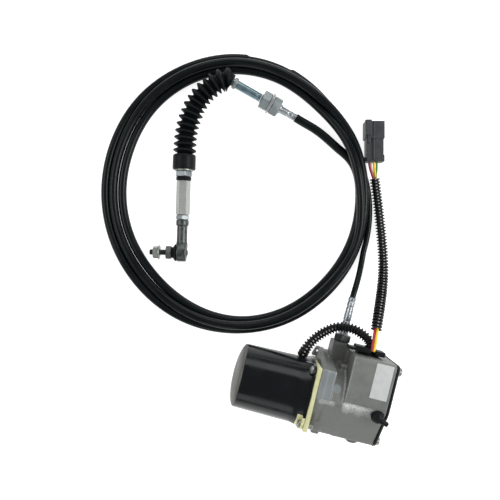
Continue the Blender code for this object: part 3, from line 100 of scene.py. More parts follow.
def table(right: float | Array, up: float | Array, z: float | Array) -> Array:
    """Gives a place on the table in the actuator's own axes: turned by 14 degrees, then shifted.

    Args:
        right: distance to the right of the picture's centre, in mm.
        up: distance up from the picture's centre, in mm.
        z: height over the table, in mm.

    Returns:
        The point, in mm, or for arrays a row of numbers for each axis.
    """
    c, s = math.cos(TURN), math.sin(TURN)
    return vector(right * c - up * s + PICTURE_CENTRE[0], right * s + up * c + PICTURE_CENTRE[1], z)


def table_direction(right: float, up: float) -> Array:
    """Gives a unit direction in the actuator's axes for a direction on the table."""
    return unit(table(right, up, 0.0) - table(0.0, 0.0, 0.0))


def smooth_line(points: Profile, spacing: float) -> Array:
    """Draws one smooth line through points: a natural cubic spline over the chord length.

    Args:
        points: the places that the line passes, in mm.
        spacing: about how far apart the points of the result are, in mm.

    Returns:
        An array of points, evenly spaced along the line.
    """
    p = np.asarray(points, float)
    h = np.linalg.norm(np.diff(p, axis=0), axis=1)
    t = np.concatenate([[0.0], np.cumsum(h)])
    n = len(p)
    rows = np.eye(n)
    inner = np.arange(1, n - 1)
    rows[inner, inner - 1] = h[:-1]
    rows[inner, inner] = 2 * (h[:-1] + h[1:])
    rows[inner, inner + 1] = h[1:]
    slopes = np.diff(p, axis=0) / h[:, None]
    right = np.zeros_like(p)
    right[1:-1] = 6 * np.diff(slopes, axis=0)
    bend = np.linalg.solve(rows, right)

    def at(where: Array) -> Array:
        """Gives the spline's points at distances along the chords."""
        k = np.clip(np.searchsorted(t, where, side="right") - 1, 0, n - 2)
        a = ((t[k + 1] - where) / h[k])[:, None]
        b = ((where - t[k]) / h[k])[:, None]
        step = (h[k] ** 2 / 6)[:, None]
        return a * p[k] + b * p[k + 1] + ((a ** 3 - a) * bend[k] + (b ** 3 - b) * bend[k + 1]) * step

    fine = at(np.linspace(0.0, t[-1], 40 * n))
    far = line_distances(fine)
    count = max(4, int(round(far[-1] / spacing)) + 1)
    even = np.linspace(0.0, far[-1], count)
    return np.stack([np.interp(even, far, fine[:, i]) for i in range(3)], axis=1)


def line_distances(line: Array) -> Array:
    """Gives the distance along a line at each of its points."""
    return np.concatenate([[0.0], np.cumsum(np.linalg.norm(np.diff(line, axis=0), axis=1))])


def line_axes(line: Array) -> tuple[Array, Array, Array]:
    """Gives the ahead, side and up directions along a line that is nowhere upright.

    Ahead is the central difference, side is ahead crossed with z, and up is side crossed with ahead.
    """
    ahead = unit(np.gradient(line, axis=0))
    side = unit(np.cross(ahead, vector(0.0, 0.0, 1.0)))
    return ahead, side, np.cross(side, ahead)


def corner_curves(before: Array, corner: Array, after: Array, radius: float, steps: int) -> Array:
    """Gives the curves that round the corners of an outline.

    Each corner becomes the quadratic curve between two points that lie radius away along its sides,
    or 45 percent of a side where that is shorter.

    Args:
        before: the point before each corner.
        corner: the corners.
        after: the point after each corner.
        radius: how far from a corner its curve starts, in mm.
        steps: points on each curve.

    Returns:
        The points of the curves, one curve after the other.
    """
    back, on = before - corner, after - corner
    la = np.linalg.norm(back, axis=1, keepdims=True)
    lb = np.linalg.norm(on, axis=1, keepdims=True)
    a = corner + back / la * np.minimum(radius, 0.45 * la)
    b = corner + on / lb * np.minimum(radius, 0.45 * lb)
    t = np.linspace(0.0, 1.0, steps)[None, :, None]
    return ((1 - t) ** 2 * a[:, None] + 2 * t * (1 - t) * corner[:, None]
            + t ** 2 * b[:, None]).reshape(-1, 2)


def rounded(profile: Profile, radius: float) -> Array:
    """Rounds the inner corners of an open profile and keeps its two ends."""
    p = np.asarray(profile, float)
    return np.vstack([p[:1], corner_curves(p[:-2], p[1:-1], p[2:], radius, 4), p[-1:]])


def closed_outline(corners: Profile, radius: float, steps: int = 6) -> Array:
    """Rounds every corner of a closed outline."""
    p = np.asarray(corners, float)
    return corner_curves(np.roll(p, 1, axis=0), p, np.roll(p, -1, axis=0), radius, steps)


def circle(around: int) -> Array:
    """Gives the angles of a ring's points."""
    return 2 * math.pi * np.arange(around) / around


def rings_round(line: Array, reach: Array) -> Array:
    """Gives a ring of points round each point of a line, at the reach that each point of the ring has."""
    _, side, up = line_axes(line)
    a = circle(reach.shape[1])
    out = side[:, None] * np.cos(a)[None, :, None] - up[:, None] * np.sin(a)[None, :, None]
    return line[:, None] + out * reach[..., None]


@dataclass
class Skin:
    """Collects the surfaces of one piece and puts them into a mesh."""

    points: list[Array] = field(default_factory=list)
    faces: list[Array] = field(default_factory=list)
    places: list[Array] = field(default_factory=list)
    slots: list[Array] = field(default_factory=list)
    count: int = 0

    def grid(self, grid: Array, loop: bool = False, along: Array | None = None, flip: bool = False) -> "Skin":
        """Adds rings of points joined by quads, with the two ends closed to their centres.

        Args:
            grid: points as rings, ring by ring, each going round once.
            loop: whether the last ring joins the first, which leaves no ends.
            along: the first coordinate of the piece's own map at each ring, in metres.
            flip: whether the faces are turned round.

        Returns:
            The skin itself.
        """
        rings, around = grid.shape[:2]
        along = np.arange(rings, dtype=float) if along is None else np.asarray(along, float)
        index = np.arange(rings * around).reshape(rings, around)
        after = np.roll(index, -1, axis=1)
        last = rings if loop else rings - 1
        above, above_after = (np.roll(ids, -1, axis=0)[:last] for ids in (index, after))
        quads = np.stack([index[:last], after[:last], above_after, above], axis=-1).reshape(-1, 4)
        turn = np.broadcast_to(np.arange(around) / around, (last, around))
        step = 1.0 / around
        u0, u1 = (np.broadcast_to(row[:last, None], (last, around)) for row in (along, np.roll(along, -1)))
        uv = np.stack([np.stack([u0, turn], -1), np.stack([u0, turn + step], -1),
                       np.stack([u1, turn + step], -1), np.stack([u1, turn], -1)], axis=2).reshape(-1, 4, 2)
        if flip:
            quads, uv = quads[:, ::-1], uv[:, ::-1]
        self._add(quads, uv)
        points = [grid.reshape(-1, 3)]
        for k, ring in enumerate(() if loop else (0, rings - 1)):
            points.append(grid[ring].mean(axis=0)[None])
            fan = np.stack([np.full(around, rings * around + k), after[ring], index[ring]], axis=-1)
            self._add(fan[:, ::-1] if bool(k) != flip else fan, np.full((around, 3, 2), along[ring]))
        self.points.append(np.concatenate(points))
        self.count += len(self.points[-1])
        return self

    def _add(self, faces: Array, uv: Array) -> None:
        """Keeps faces with their map in the first slot, numbered after the points that are already there."""
        self.faces.append(faces + self.count)
        self.places.append(uv.reshape(-1, 2))
        self.slots.append(np.zeros(len(faces), int))

    def raw(self, points: Array, quads: Array) -> "Skin":
        """Adds ready points and quads, with no map of their own, and gives the skin itself."""
        self._add(quads, np.zeros((len(quads), quads.shape[1], 2)))
        self.points.append(points)
        self.count += len(points)
        return self

    def mesh(self, name: str, sharp: float = SHARP) -> Piece:
        """Makes the object, smooth but for edges sharper than an angle.

        Args:
            name: the piece's name.
            sharp: the angle in degrees past which an edge stays sharp.

        Returns:
            The new object, at the origin.
        """
        co = np.concatenate(self.points) * MM
        loops = np.concatenate([f.reshape(-1) for f in self.faces])
        sizes = np.concatenate([np.full(len(f), f.shape[1]) for f in self.faces])
        made = bpy.data.meshes.new(name)
        made.vertices.add(len(co))
        made.vertices.foreach_set("co", co.astype(np.float32).reshape(-1))
        made.loops.add(len(loops))
        made.loops.foreach_set("vertex_index", loops.astype(np.int32))
        made.polygons.add(len(sizes))
        made.polygons.foreach_set("loop_start", np.concatenate([[0], np.cumsum(sizes)[:-1]]).astype(np.int32))
        made.polygons.foreach_set("material_index", np.concatenate(self.slots).astype(np.int32))
        made.update(calc_edges=True)
        made.validate()
        uv = np.concatenate(self.places)
        if len(uv) == len(made.loops):
            made.uv_layers.new(name="own_map").data.foreach_set("uv", uv.astype(np.float32).reshape(-1))
        made.polygons.foreach_set("use_smooth", np.ones(len(made.polygons), bool))
        made.set_sharp_from_angle(angle=math.radians(sharp))
        obj = bpy.data.objects.new(name, made)
        bpy.context.scene.collection.objects.link(obj)
        return obj


@dataclass(frozen=True)
class Axis:
    """A straight axis in space with two directions across it."""

    at: Point
    along: Point

    def across(self) -> tuple[Array, Array, Array]:
        """Gives the direction along the axis and two across it that make a right-handed set."""
        ahead = unit(vector(*self.along))
        hint = vector(0.0, 0.0, 1.0) if abs(ahead[2]) < 0.9 else vector(1.0, 0.0, 0.0)
        side = unit(np.cross(hint, ahead))
        return ahead, side, np.cross(ahead, side)

    def rings(self, far: Array, reach: Array, around: int) -> Array:
        """Turns distances along and out of the axis into rings of points.

        A point is the axis point at its distance, plus its reach times the direction at its angle.

        Args:
            far: distance along the axis, one for each ring or for each point.
            reach: distance out of the axis, one for each ring or for each point.
            around: points in a ring.

        Returns:
            An array of rings of points.
        """
        ahead, side, up = self.across()
        a = circle(around)
        far = np.broadcast_to(far if far.ndim == 2 else far[:, None], (len(far), around))
        reach = np.broadcast_to(reach if reach.ndim == 2 else reach[:, None], (len(far), around))
        out = np.cos(a)[:, None] * side + np.sin(a)[:, None] * up
        return vector(*self.at) + far[..., None] * ahead + reach[..., None] * out[None]


def lathe(skin: Skin, axis: Axis, profile: Profile, around: int, soft: float, ring: bool = False) -> Skin:
    """Turns a profile of distance and reach round an axis, with its corners rounded.

    Args:
        skin: where the surface goes.
        axis: what it turns round.
        profile: pairs of distance along the axis and reach out of it, from back to front on the outside.
        around: points in a ring.
        soft: how far each corner is rounded, in mm.
        ring: whether the profile closes on itself, as for a nut or a washer.

    Returns:
        The skin.
    """
    p = np.asarray(profile, float)
    if ring:
        p = np.vstack([0.5 * (p[:1] + p[-1:]), p, 0.5 * (p[:1] + p[-1:])])
    p = rounded(p, soft)
    if ring:
        p = p[:-1]
    return skin.grid(axis.rings(p[:, 0], p[:, 1], around), ring, along=p[:, 0] * MM)


def hexagon(around: int, flats: float, turn: float) -> Array:
    """Gives the reach of a hexagon at each angle: half its flats over the cosine from the nearest flat."""
    a = circle(around) + turn
    near = (a + math.pi / 6) % (math.pi / 3) - math.pi / 6
    return 0.5 * flats / np.cos(near)


def hex_nut(skin: Skin, axis: Axis, start: float, end: float, flats: float, bore: float, turn: float,
            washer: float = 0.0) -> Skin:
    """Adds a hexagon nut whose corners are cut by a cone at each end.

    The reach at a distance and an angle is the smaller of the hexagon and the cone that starts at
    0.965 of the flats' circle and lies about 28 degrees off each face.

    Args:
        skin: where the nut goes.
        axis: the nut's axis.
        start: where it starts along the axis, in mm.
        end: where it ends.
        flats: distance across its flats.
        bore: radius of its hole.
        turn: how far the hexagon is turned.
        washer: radius of a round foot at its start, or 0.

    Returns:
        The skin.
    """
    around = 72
    foot = 1.5 if washer else 0.0
    rise = np.array([0.0, 0.12, 0.35, 0.7, 1.1, 1.5])
    low = start + foot + rise
    high = end - rise[::-1]
    far = np.concatenate([low, np.linspace(low[-1], high[0], 4)[1:-1], high])
    from_end = np.minimum(far - start - foot, end - far)[:, None]
    cone = 0.5 * flats * 0.965 + from_end * 1.9
    rows = [np.minimum(hexagon(around, flats, turn)[None], cone)]
    heights = [far]
    if washer:
        rows.insert(0, np.broadcast_to(np.array([washer - 0.15, washer, washer, washer - 0.3])[:, None],
                                       (4, around)))
        heights.insert(0, start + np.array([0.0, 0.2, 0.9, 1.35]))
    inner = np.array([bore + 0.5, bore, bore, bore + 0.5])
    rows.append(np.broadcast_to(inner[:, None], (4, around)))
    heights.append(np.array([end, end - 0.5, start + 0.5, start]))
    far = np.concatenate(heights)
    return skin.grid(axis.rings(far, np.concatenate(rows), around), True, along=far * MM)


def threaded(skin: Skin, axis: Axis, start: float, end: float, radius: float, pitch: float) -> None:
    """Adds a threaded rod: its reach falls by a V whose place turns once round in each pitch.

    Args:
        skin: where the rod goes.
        axis: the rod's axis.
        start: where it starts along the axis, in mm.
        end: where it ends.
        radius: the thread's outer radius.
        pitch: the thread's pitch.
    """
    around, end_fall, end_length = 28, 0.6, 0.8
    far = np.linspace(start, end, max(8, int((end - start) / pitch * 6)))
    phase = far[:, None] / pitch - np.arange(around)[None] / around
    wave = 2 * np.abs(phase % 1.0 - 0.5)
    reach = radius - 0.55 * pitch * np.clip(1.15 * wave - 0.1, 0.0, 1.0)
    fade = np.minimum((far - start) / end_length, (end - far) / end_length)[:, None]
    limit = radius - end_fall * np.clip(1 - fade, 0, 1)
    skin.grid(axis.rings(far, np.minimum(reach, limit), around), along=far * MM)


def tube(line: Array, radius: Array | float, around: int, wave: Callable[[Array, Array], Array] | None = None,
         inner: float = 0.0) -> Skin:
    """Carries a circle along a line, its radius changed by a wave of distance and angle.

    Args:
        line: the centre line.
        radius: the radius, one number or one for each ring.
        around: points in a ring.
        wave: adds to the radius, from the distance along and the angle round.
        inner: the radius of a hole through it, or 0.

    Returns:
        The tube's skin.
    """
    far = line_distances(line)
    reach = np.broadcast_to(np.asarray(radius, float).reshape(-1, 1), (len(line), around))
    if wave is not None:
        reach = reach + wave(far[:, None], circle(around)[None])
    outside = rings_round(line, reach)
    if inner <= 0:
        return Skin().grid(outside, along=far * MM, flip=True)
    rows = slice(None, None, -6)
    within = rings_round(line, np.full(reach.shape, inner))[rows]
    distance = np.concatenate([far, far[rows]])
    return Skin().grid(np.concatenate([outside, within]), True, along=distance * MM, flip=True)


def soft_max(a: Array, b: Array, width: float) -> Array:
    """Gives the larger of two fields, rounded over a width where they are close."""
    near = np.maximum(width - np.abs(a - b), 0.0) / width
    return np.maximum(a, b) + near * near * width * 0.25


def soft_min(a: Array, b: Array, width: float) -> Array:
    """Gives the smaller of two fields, rounded over a width where they are close."""
    return -soft_max(-a, -b, width)


@dataclass
class Lattice:
    """A block of space on a lattice, in which solids are fields of signed distance, in mm."""

    EMPTY = 50.0
    low: Point
    high: Point
    pitch: float

    def __post_init__(self) -> None:
        """Lays out the lattice and starts with empty space."""
        self.axes = [np.arange(a, b + self.pitch, self.pitch) for a, b in zip(self.low, self.high)]
        self.x, self.y, self.z = (g.astype(np.float32)
                                  for g in np.meshgrid(*self.axes, indexing="ij", sparse=True))
        self.value = np.full([len(a) for a in self.axes], self.EMPTY, np.float32)

    def add(self, shape: Array, width: float = 1.0) -> None:
        """Joins a shape to the solid, with a fillet of about the width."""
        self.value = soft_min(self.value, np.broadcast_to(shape, self.value.shape), width).astype(np.float32)

    def cut(self, shape: Array, width: float = 0.6) -> None:
        """Takes a shape out of the solid, with its edge eased over the width."""
        self.value = soft_max(self.value, -np.broadcast_to(shape, self.value.shape), width).astype(np.float32)

    def box(self, low: Point, high: Point, soft: float = 1.0) -> Array:
        """Gives a box with rounded edges: the length of the part outside, less the rounding."""
        parts = [np.abs(g - 0.5 * (a + b)) - 0.5 * (b - a) + soft
                 for g, a, b in zip((self.x, self.y, self.z), low, high)]
        outside = np.sqrt(sum(np.maximum(q, 0.0) ** 2 for q in parts))
        inside = np.minimum(np.maximum(np.maximum(parts[0], parts[1]), parts[2]), 0.0)
        return outside + inside - soft

    def rod(self, axis: str, at: tuple[float, float], radius: float, low: float, high: float,
            soft: float = 0.6) -> Array:
        """Gives a round rod along an axis: the larger of its distance out and its distance past the ends."""
        names = [n for n in "xyz" if n != axis]
        out = np.sqrt(sum((getattr(self, n) - c) ** 2 for n, c in zip(names, at))) - radius
        along = getattr(self, axis)
        return soft_max(out, np.abs(along - 0.5 * (low + high)) - 0.5 * (high - low), soft)

    def slab(self, planes: Sequence[tuple[float, float, float, float]], soft: float = 1.0) -> Array:
        """Gives what lies behind every plane: the rounded largest of the distances past them.

        Args:
            planes: for each plane its direction x, y and z and its distance from the origin.
            soft: how far the edges are rounded, in mm.

        Returns:
            The field of the shape.
        """
        found: Array | None = None
        for nx, ny, nz, far in planes:
            size = math.sqrt(nx * nx + ny * ny + nz * nz)
            past = (nx * self.x + ny * self.y + nz * self.z - far) / size
            found = past if found is None else soft_max(found, past, soft)
        return found

    def prism(self, across: str, outline: Profile, low: float, high: float, soft: float) -> Array:
        """Gives a prism of a convex outline along an axis, from the planes through its sides.

        Args:
            across: the axis that the prism runs along.
            outline: corners, going round against the clock as seen from the axis's tip.
            low: where it starts along the axis.
            high: where it ends.
            soft: how far its edges are rounded, in mm.

        Returns:
            The field of the prism.
        """
        p = np.asarray(outline, float)
        step = np.roll(p, -1, axis=0) - p
        normal = np.stack([step[:, 1], -step[:, 0]], axis=1)
        far = (normal * p).sum(axis=1)
        first, second = {"x": (1, 2), "y": (2, 0), "z": (0, 1)}[across]
        planes = []
        for (a, b), distance in zip(normal, far):
            plane = [0.0, 0.0, 0.0]
            plane[first], plane[second] = a, b
            planes.append((*plane, distance))
        tip = [float(name == across) for name in "xyz"]
        return self.slab(planes + [(*tip, high), (*(-t for t in tip), -low)], soft)

    def skin(self) -> tuple[Array, Array]:
        """Finds the surface where the field passes zero, by the method of surface nets.

        Each cell that the surface crosses gets one point, the mean of the crossings on its twelve
        edges, and each lattice edge that changes sign gets the quad of the four cells round it.

        Returns:
            The points in mm and the quads.
        """
        v = np.pad(self.value, 1, constant_values=self.EMPTY)
        start = np.array([a[0] for a in self.axes]) - self.pitch
        size = np.array(v.shape) - 1
        total = np.zeros((*size, 3), np.float32)
        hits = np.zeros(size, np.float32)
        for axis in range(3):
            others = [k for k in range(3) if k != axis]
            for i in (0, 1):
                for j in (0, 1):
                    pick = [slice(None)] * 3
                    pick[axis] = slice(0, size[axis])
                    pick[others[0]] = slice(i, i + size[others[0]])
                    pick[others[1]] = slice(j, j + size[others[1]])
                    a = v[tuple(pick)]
                    pick[axis] = slice(1, 1 + size[axis])
                    b = v[tuple(pick)]
                    cross = (a < 0) != (b < 0)
                    share = np.where(cross, a / np.where(cross, a - b, 1.0), 0.0)
                    total[..., axis] += share
                    total[..., others[0]] += i * cross
                    total[..., others[1]] += j * cross
                    hits += cross
        cells = hits > 0
        index = np.full(size, -1)
        index[cells] = np.arange(int(cells.sum()))
        place = np.argwhere(cells) + total[cells] / hits[cells][:, None]
        points = start + place * self.pitch
        quads = []
        for axis in range(3):
            b, c = (axis + 1) % 3, (axis + 2) % 3
            pick = [slice(1, -1)] * 3
            pick[axis] = slice(0, -1)
            low = v[tuple(pick)] < 0
            pick[axis] = slice(1, None)
            high = v[tuple(pick)] < 0
            change = np.argwhere(low != high)
            rising = low[tuple(change.T)]
            base = change.copy()
            base[:, b] += 1
            base[:, c] += 1
            corner = []
            for db, dc in ((-1, -1), (0, -1), (0, 0), (-1, 0)):
                cell = base.copy()
                cell[:, b] += db
                cell[:, c] += dc
                corner.append(index[tuple(cell.T)])
            quad = np.stack(corner, axis=1)
            quad[~rising] = quad[~rising][:, ::-1]
            quads.append(quad)
        return points, np.concatenate(quads)


class Wiring:
    """Short forms for building a node tree."""

    def __init__(self, tree: bpy.types.NodeTree) -> None:
        """Keeps the tree."""
        self.tree = tree

    def add(self, kind: str, inputs: dict[str, object] | None = None, **options: object) -> bpy.types.Node:
        """Adds a node, sets its options, and sets or links its inputs.

        Args:
            kind: the node's type name after ShaderNode.
            inputs: values or output sockets, by the name or the number of the input.
            options: properties of the node.

        Returns:
            The node.
        """
        node = self.tree.nodes.new("ShaderNode" + kind)
        for name, value in options.items():
            setattr(node, name, value)
        for name, value in (inputs or {}).items():
            socket = node.inputs[int(name)] if name.isdigit() else node.inputs[name]
            if isinstance(value, Socket):
                self.tree.links.new(value, socket)
            else:
                socket.default_value = value
        return node

    def math(self, how: str, a: object, b: object = 0.0, clamp: bool = False) -> Socket:
        """Gives the result of a calculation on two values."""
        return self.add("Math", {"0": a, "1": b}, operation=how, use_clamp=clamp).outputs[0]

    def noise(self, where: Socket, scale: object, detail: float, rough: float = 0.5) -> Socket:
        """Gives the value of a noise texture."""
        return self.add("TexNoise", {"Vector": where, "Scale": scale, "Detail": detail,
                                     "Roughness": rough}).outputs["Fac"]

    def group(self, name: str, inputs: dict[str, object]) -> bpy.types.Node:
        """Adds a shared node group with its inputs."""
        return self.add("Group", inputs, node_tree=group_of(name))

    def span(self, value: object, low: float, high: float, to_low: float = 0.0,
             to_high: float = 1.0) -> Socket:
        """Gives a value stretched smoothly from one range to another."""
        names = {"Value": value, "From Min": low, "From Max": high, "To Min": to_low, "To Max": to_high}
        return self.add("MapRange", names, interpolation_type="SMOOTHSTEP").outputs["Result"]

    def blend(self, share: object, a: object, b: object) -> Socket:
        """Gives one colour mixed with another."""
        node = self.add("Mix", data_type="RGBA")
        for k, value in ((0, share), (6, a), (7, b)):
            if isinstance(value, Socket):
                self.tree.links.new(value, node.inputs[k])
            else:
                node.inputs[k].default_value = (*value, 1.0)
        return node.outputs[2]


def new_group(name: str, takes: dict[str, str],
              gives: dict[str, str]) -> tuple[bpy.types.NodeTree, bpy.types.Node, bpy.types.Node]:
    """Starts a shader node group with named inputs and outputs.

    Args:
        name: the group's name.
        takes: the inputs, by name, with the kind of each.
        gives: the outputs, by name, with the kind of each.

    Returns:
        The group, its input node and its output node.
    """
    group = bpy.data.node_groups.new(name, "ShaderNodeTree")
    for names, side in ((takes, "INPUT"), (gives, "OUTPUT")):
        for key, kind in names.items():
            group.interface.new_socket(name=key, in_out=side, socket_type="NodeSocket" + kind)
    return group, group.nodes.new("NodeGroupInput"), group.nodes.new("NodeGroupOutput")


def mottle_group() -> bpy.types.NodeTree:
    """Makes the group for patches of two colours and an uneven gloss, from two sizes of noise."""
    takes = {"Vector": "Vector", "First": "Color", "Second": "Color", "Scale": "Float"}
    group, given, out = new_group("mottle", takes, {"Color": "Color", "Patch": "Float"})
    w = Wiring(group)
    where, first, second, scale = (given.outputs[name] for name in takes)
    patch = w.span(w.noise(where, scale, 4.0, 0.6), 0.34, 0.66)
    speck = w.span(w.noise(where, w.math("MULTIPLY", scale, 7.0), 3.0, 0.65), 0.3, 0.7)
    both = w.math("ADD", w.math("MULTIPLY", patch, 0.65), w.math("MULTIPLY", speck, 0.35), True)
    group.links.new(w.blend(both, first, second), out.inputs["Color"])
    group.links.new(patch, out.inputs["Patch"])
    return group


def grain_group() -> bpy.types.NodeTree:
    """Makes the group for surface grain: fine noise over small round pits."""
    takes = {"Vector": "Vector", "Scale": "Float"}
    group, given, out = new_group("grain", takes, {"Height": "Float"})
    w = Wiring(group)
    where, scale = (given.outputs[name] for name in takes)
    cells = w.add("TexVoronoi", {"Vector": where, "Scale": w.math("MULTIPLY", scale, 0.6)})
    pits = w.math("MULTIPLY", w.span(cells.outputs["Distance"], 0.08, 0.3), 0.35)
    group.links.new(w.math("ADD", w.noise(where, scale, 3.0, 0.6), pits), out.inputs["Height"])
    return group


def streak_group() -> bpy.types.NodeTree:
    """Makes the group for marks drawn out along a piece, from noise squeezed along its own map."""
    takes = {"Vector": "Vector", "Along": "Float", "Around": "Float"}
    group, given, out = new_group("streaks", takes, {"Streak": "Float", "Fine": "Float"})
    w = Wiring(group)
    where, along, around = (given.outputs[name] for name in takes)
    parts = w.add("SeparateXYZ", {"Vector": where})
    turn = w.math("MULTIPLY", parts.outputs["Y"], 2 * math.pi)
    ring_a, ring_b = (w.math("MULTIPLY", w.math(how, turn), around) for how in ("COSINE", "SINE"))
    spot = w.add("CombineXYZ", {"X": w.math("MULTIPLY", parts.outputs["X"], along), "Y": ring_a,
                                "Z": ring_b}).outputs[0]
    group.links.new(w.span(w.noise(spot, 1.0, 4.0, 0.65), 0.35, 0.65), out.inputs["Streak"])
    group.links.new(w.span(w.noise(spot, 4.5, 2.0), 0.35, 0.65), out.inputs["Fine"])
    return group


GROUPS: dict[str, bpy.types.NodeTree] = {}
MADE: dict[str, bpy.types.Material] = {}


def group_of(name: str) -> bpy.types.NodeTree:
    """Gives a shared node group, made once."""
    makers = {"mottle": mottle_group, "grain": grain_group, "streaks": streak_group}
    if name not in GROUPS:
        GROUPS[name] = makers[name]()
    return GROUPS[name]


def linear(red: int, green: int, blue: int) -> Colour:
    """Gives the linear colour for a colour as a screen shows it, each part from 0 to 255."""
    parts = [v / 255.0 for v in (red, green, blue)]
    return tuple(v / 12.92 if v <= 0.04045 else ((v + 0.055) / 1.055) ** 2.4 for v in parts)


@dataclass(frozen=True)
class Finish:
    """A surface finish: two colours in patches, uneven gloss, and grain as bump."""

    name: str
    first: Colour
    second: Colour
    scale: float
    rough: tuple[float, float]
    metallic: float
    grain: float
    height: float
    strength: float
    specular: float = 0.5

    def extra(self, w: Wiring, colour: Socket, rough: Socket) -> tuple[Socket, Socket]:
        """Adds what only this finish has. The plain finish adds nothing."""
        return colour, rough

    def make(self) -> bpy.types.Material:
        """Builds the material, once for each name.

        Returns:
            The material, with its shader fed by the shared groups.
        """
        if self.name in MADE:
            return MADE[self.name]
        made = MADE[self.name] = bpy.data.materials.new(self.name + "_finish")
        made.use_nodes = True
        shader = made.node_tree.nodes["Principled BSDF"]
        w = Wiring(made.node_tree)
        where = w.add("TexCoord").outputs["Object"]
        colours = {"First": (*self.first, 1.0), "Second": (*self.second, 1.0)}
        mottle = w.group("mottle", {"Vector": where, "Scale": self.scale, **colours})
        grain = w.group("grain", {"Vector": where, "Scale": self.grain})
        rough = w.span(mottle.outputs["Patch"], 0.0, 1.0, *self.rough)
        colour, rough = self.extra(w, mottle.outputs["Color"], rough)
        bump = w.add("Bump", {"Strength": self.strength, "Distance": self.height,
                              "Height": grain.outputs["Height"]})
        for name, source in (("Base Color", colour), ("Roughness", rough),
                             ("Normal", bump.outputs["Normal"])):
            w.tree.links.new(source, shader.inputs[name])
        shader.inputs["Metallic"].default_value = self.metallic
        shader.inputs["Specular IOR Level"].default_value = self.specular
        return made


@dataclass(frozen=True)
class CastFinish(Finish):
    """Cast metal: tool-bright faces, painted highlights and painted shade where the piece's own attributes
    say so.
    """

    # The first tint is for machined faces, the second is the colour of painted highlights, the third that of
    # painted shade
    bright: Colour = (0.5, 0.5, 0.5)
    highlight_tint: Colour = (0.72, 0.72, 0.71)
    dark: Colour = (0.05, 0.054, 0.053)

    def extra(self, w: Wiring, colour: Socket, rough: Socket) -> tuple[Socket, Socket]:
        """Darkens with painted shade, then lightens the machined faces, smoother too, then paints the
        highlights and rubbing.
        """
        names = ("milled", "painted_highlight_and_rub", "painted_shade")
        milled, painted_highlight_and_rub, painted_shade = (w.add("Attribute", attribute_name=name).outputs["Fac"] for name in names)
        noise = w.noise(w.add("TexCoord").outputs["Object"], 620.0, 4.0, 0.7)
        broken = w.math("MULTIPLY", painted_highlight_and_rub, w.span(noise, 0.36, 0.6, 0.3, 1.0))
        for share, tint in ((painted_shade, self.dark), (milled, self.bright), (broken, self.highlight_tint)):
            colour = w.blend(share, colour, tint)
        return colour, w.math("SUBTRACT", rough, w.math("MULTIPLY", milled, 0.12))


@dataclass(frozen=True)
class StreakFinish(Finish):
    """A finish with marks along the piece's own map, as on drawn, turned or extruded pieces."""

    along: float = 60.0
    around: float = 3.0
    mark: Colour = (0.5, 0.5, 0.5)
    amount: float = 0.5

    def extra(self, w: Wiring, colour: Socket, rough: Socket) -> tuple[Socket, Socket]:
        """Draws the marks in colour and gloss."""
        own_map = w.add("UVMap", uv_map="own_map").outputs["UV"]
        streaks = w.group("streaks", {"Vector": own_map, "Along": self.along, "Around": self.around})
        colour = w.blend(w.math("MULTIPLY", streaks.outputs["Streak"], self.amount), colour, self.mark)
        return colour, w.math("ADD", rough, w.math("MULTIPLY", streaks.outputs["Fine"], 0.08))


@dataclass(frozen=True)
class LoomFinish(Finish):
    """Black corrugated loom with painted shade in its valleys and a painted highlight speck on each ridge
    along its slit.
    """

    pitch: float = LOOM_PITCH * MM
    slit: float = 0.75
    reach: float = 1.0
    speck: Colour = (0.5, 0.5, 0.5)

    def extra(self, w: Wiring, colour: Socket, rough: Socket) -> tuple[Socket, Socket]:
        """Paints shade into the valleys, and highlight specks near the slit's angle on each ridge, no further
        along than reach.
        """
        parts = w.add("SeparateXYZ", {"Vector": w.add("UVMap", uv_map="own_map").outputs["UV"]})
        step = w.math("DIVIDE", parts.outputs["X"], self.pitch)
        wander = w.noise(w.add("CombineXYZ", {"X": step}).outputs[0], 0.35, 2.0)
        centre = w.math("ADD", self.slit - 0.03, w.math("MULTIPLY", wander, 0.06))
        off = w.math("ABSOLUTE", w.math("SUBTRACT", parts.outputs["Y"], centre))
        middle = w.math("ABSOLUTE", w.math("SUBTRACT", w.math("FRACT", step), 0.5))
        # Painted highlight: a pale speck near the slit's angle on each ridge
        share = w.math("MULTIPLY", w.span(off, 0.012, 0.034, 1.0, 0.0), w.span(middle, 0.28, 0.42))
        share = w.math("MULTIPLY", share,
                       w.span(parts.outputs["X"], self.reach - 0.006, self.reach, 1.0, 0.0))
        # Painted shade: the valleys between the ridges are darkened towards black
        colour = w.blend(w.span(middle, 0.1, 0.4, 0.35, 1.0), (0.002, 0.002, 0.002), colour)
        return w.blend(share, colour, self.speck), rough


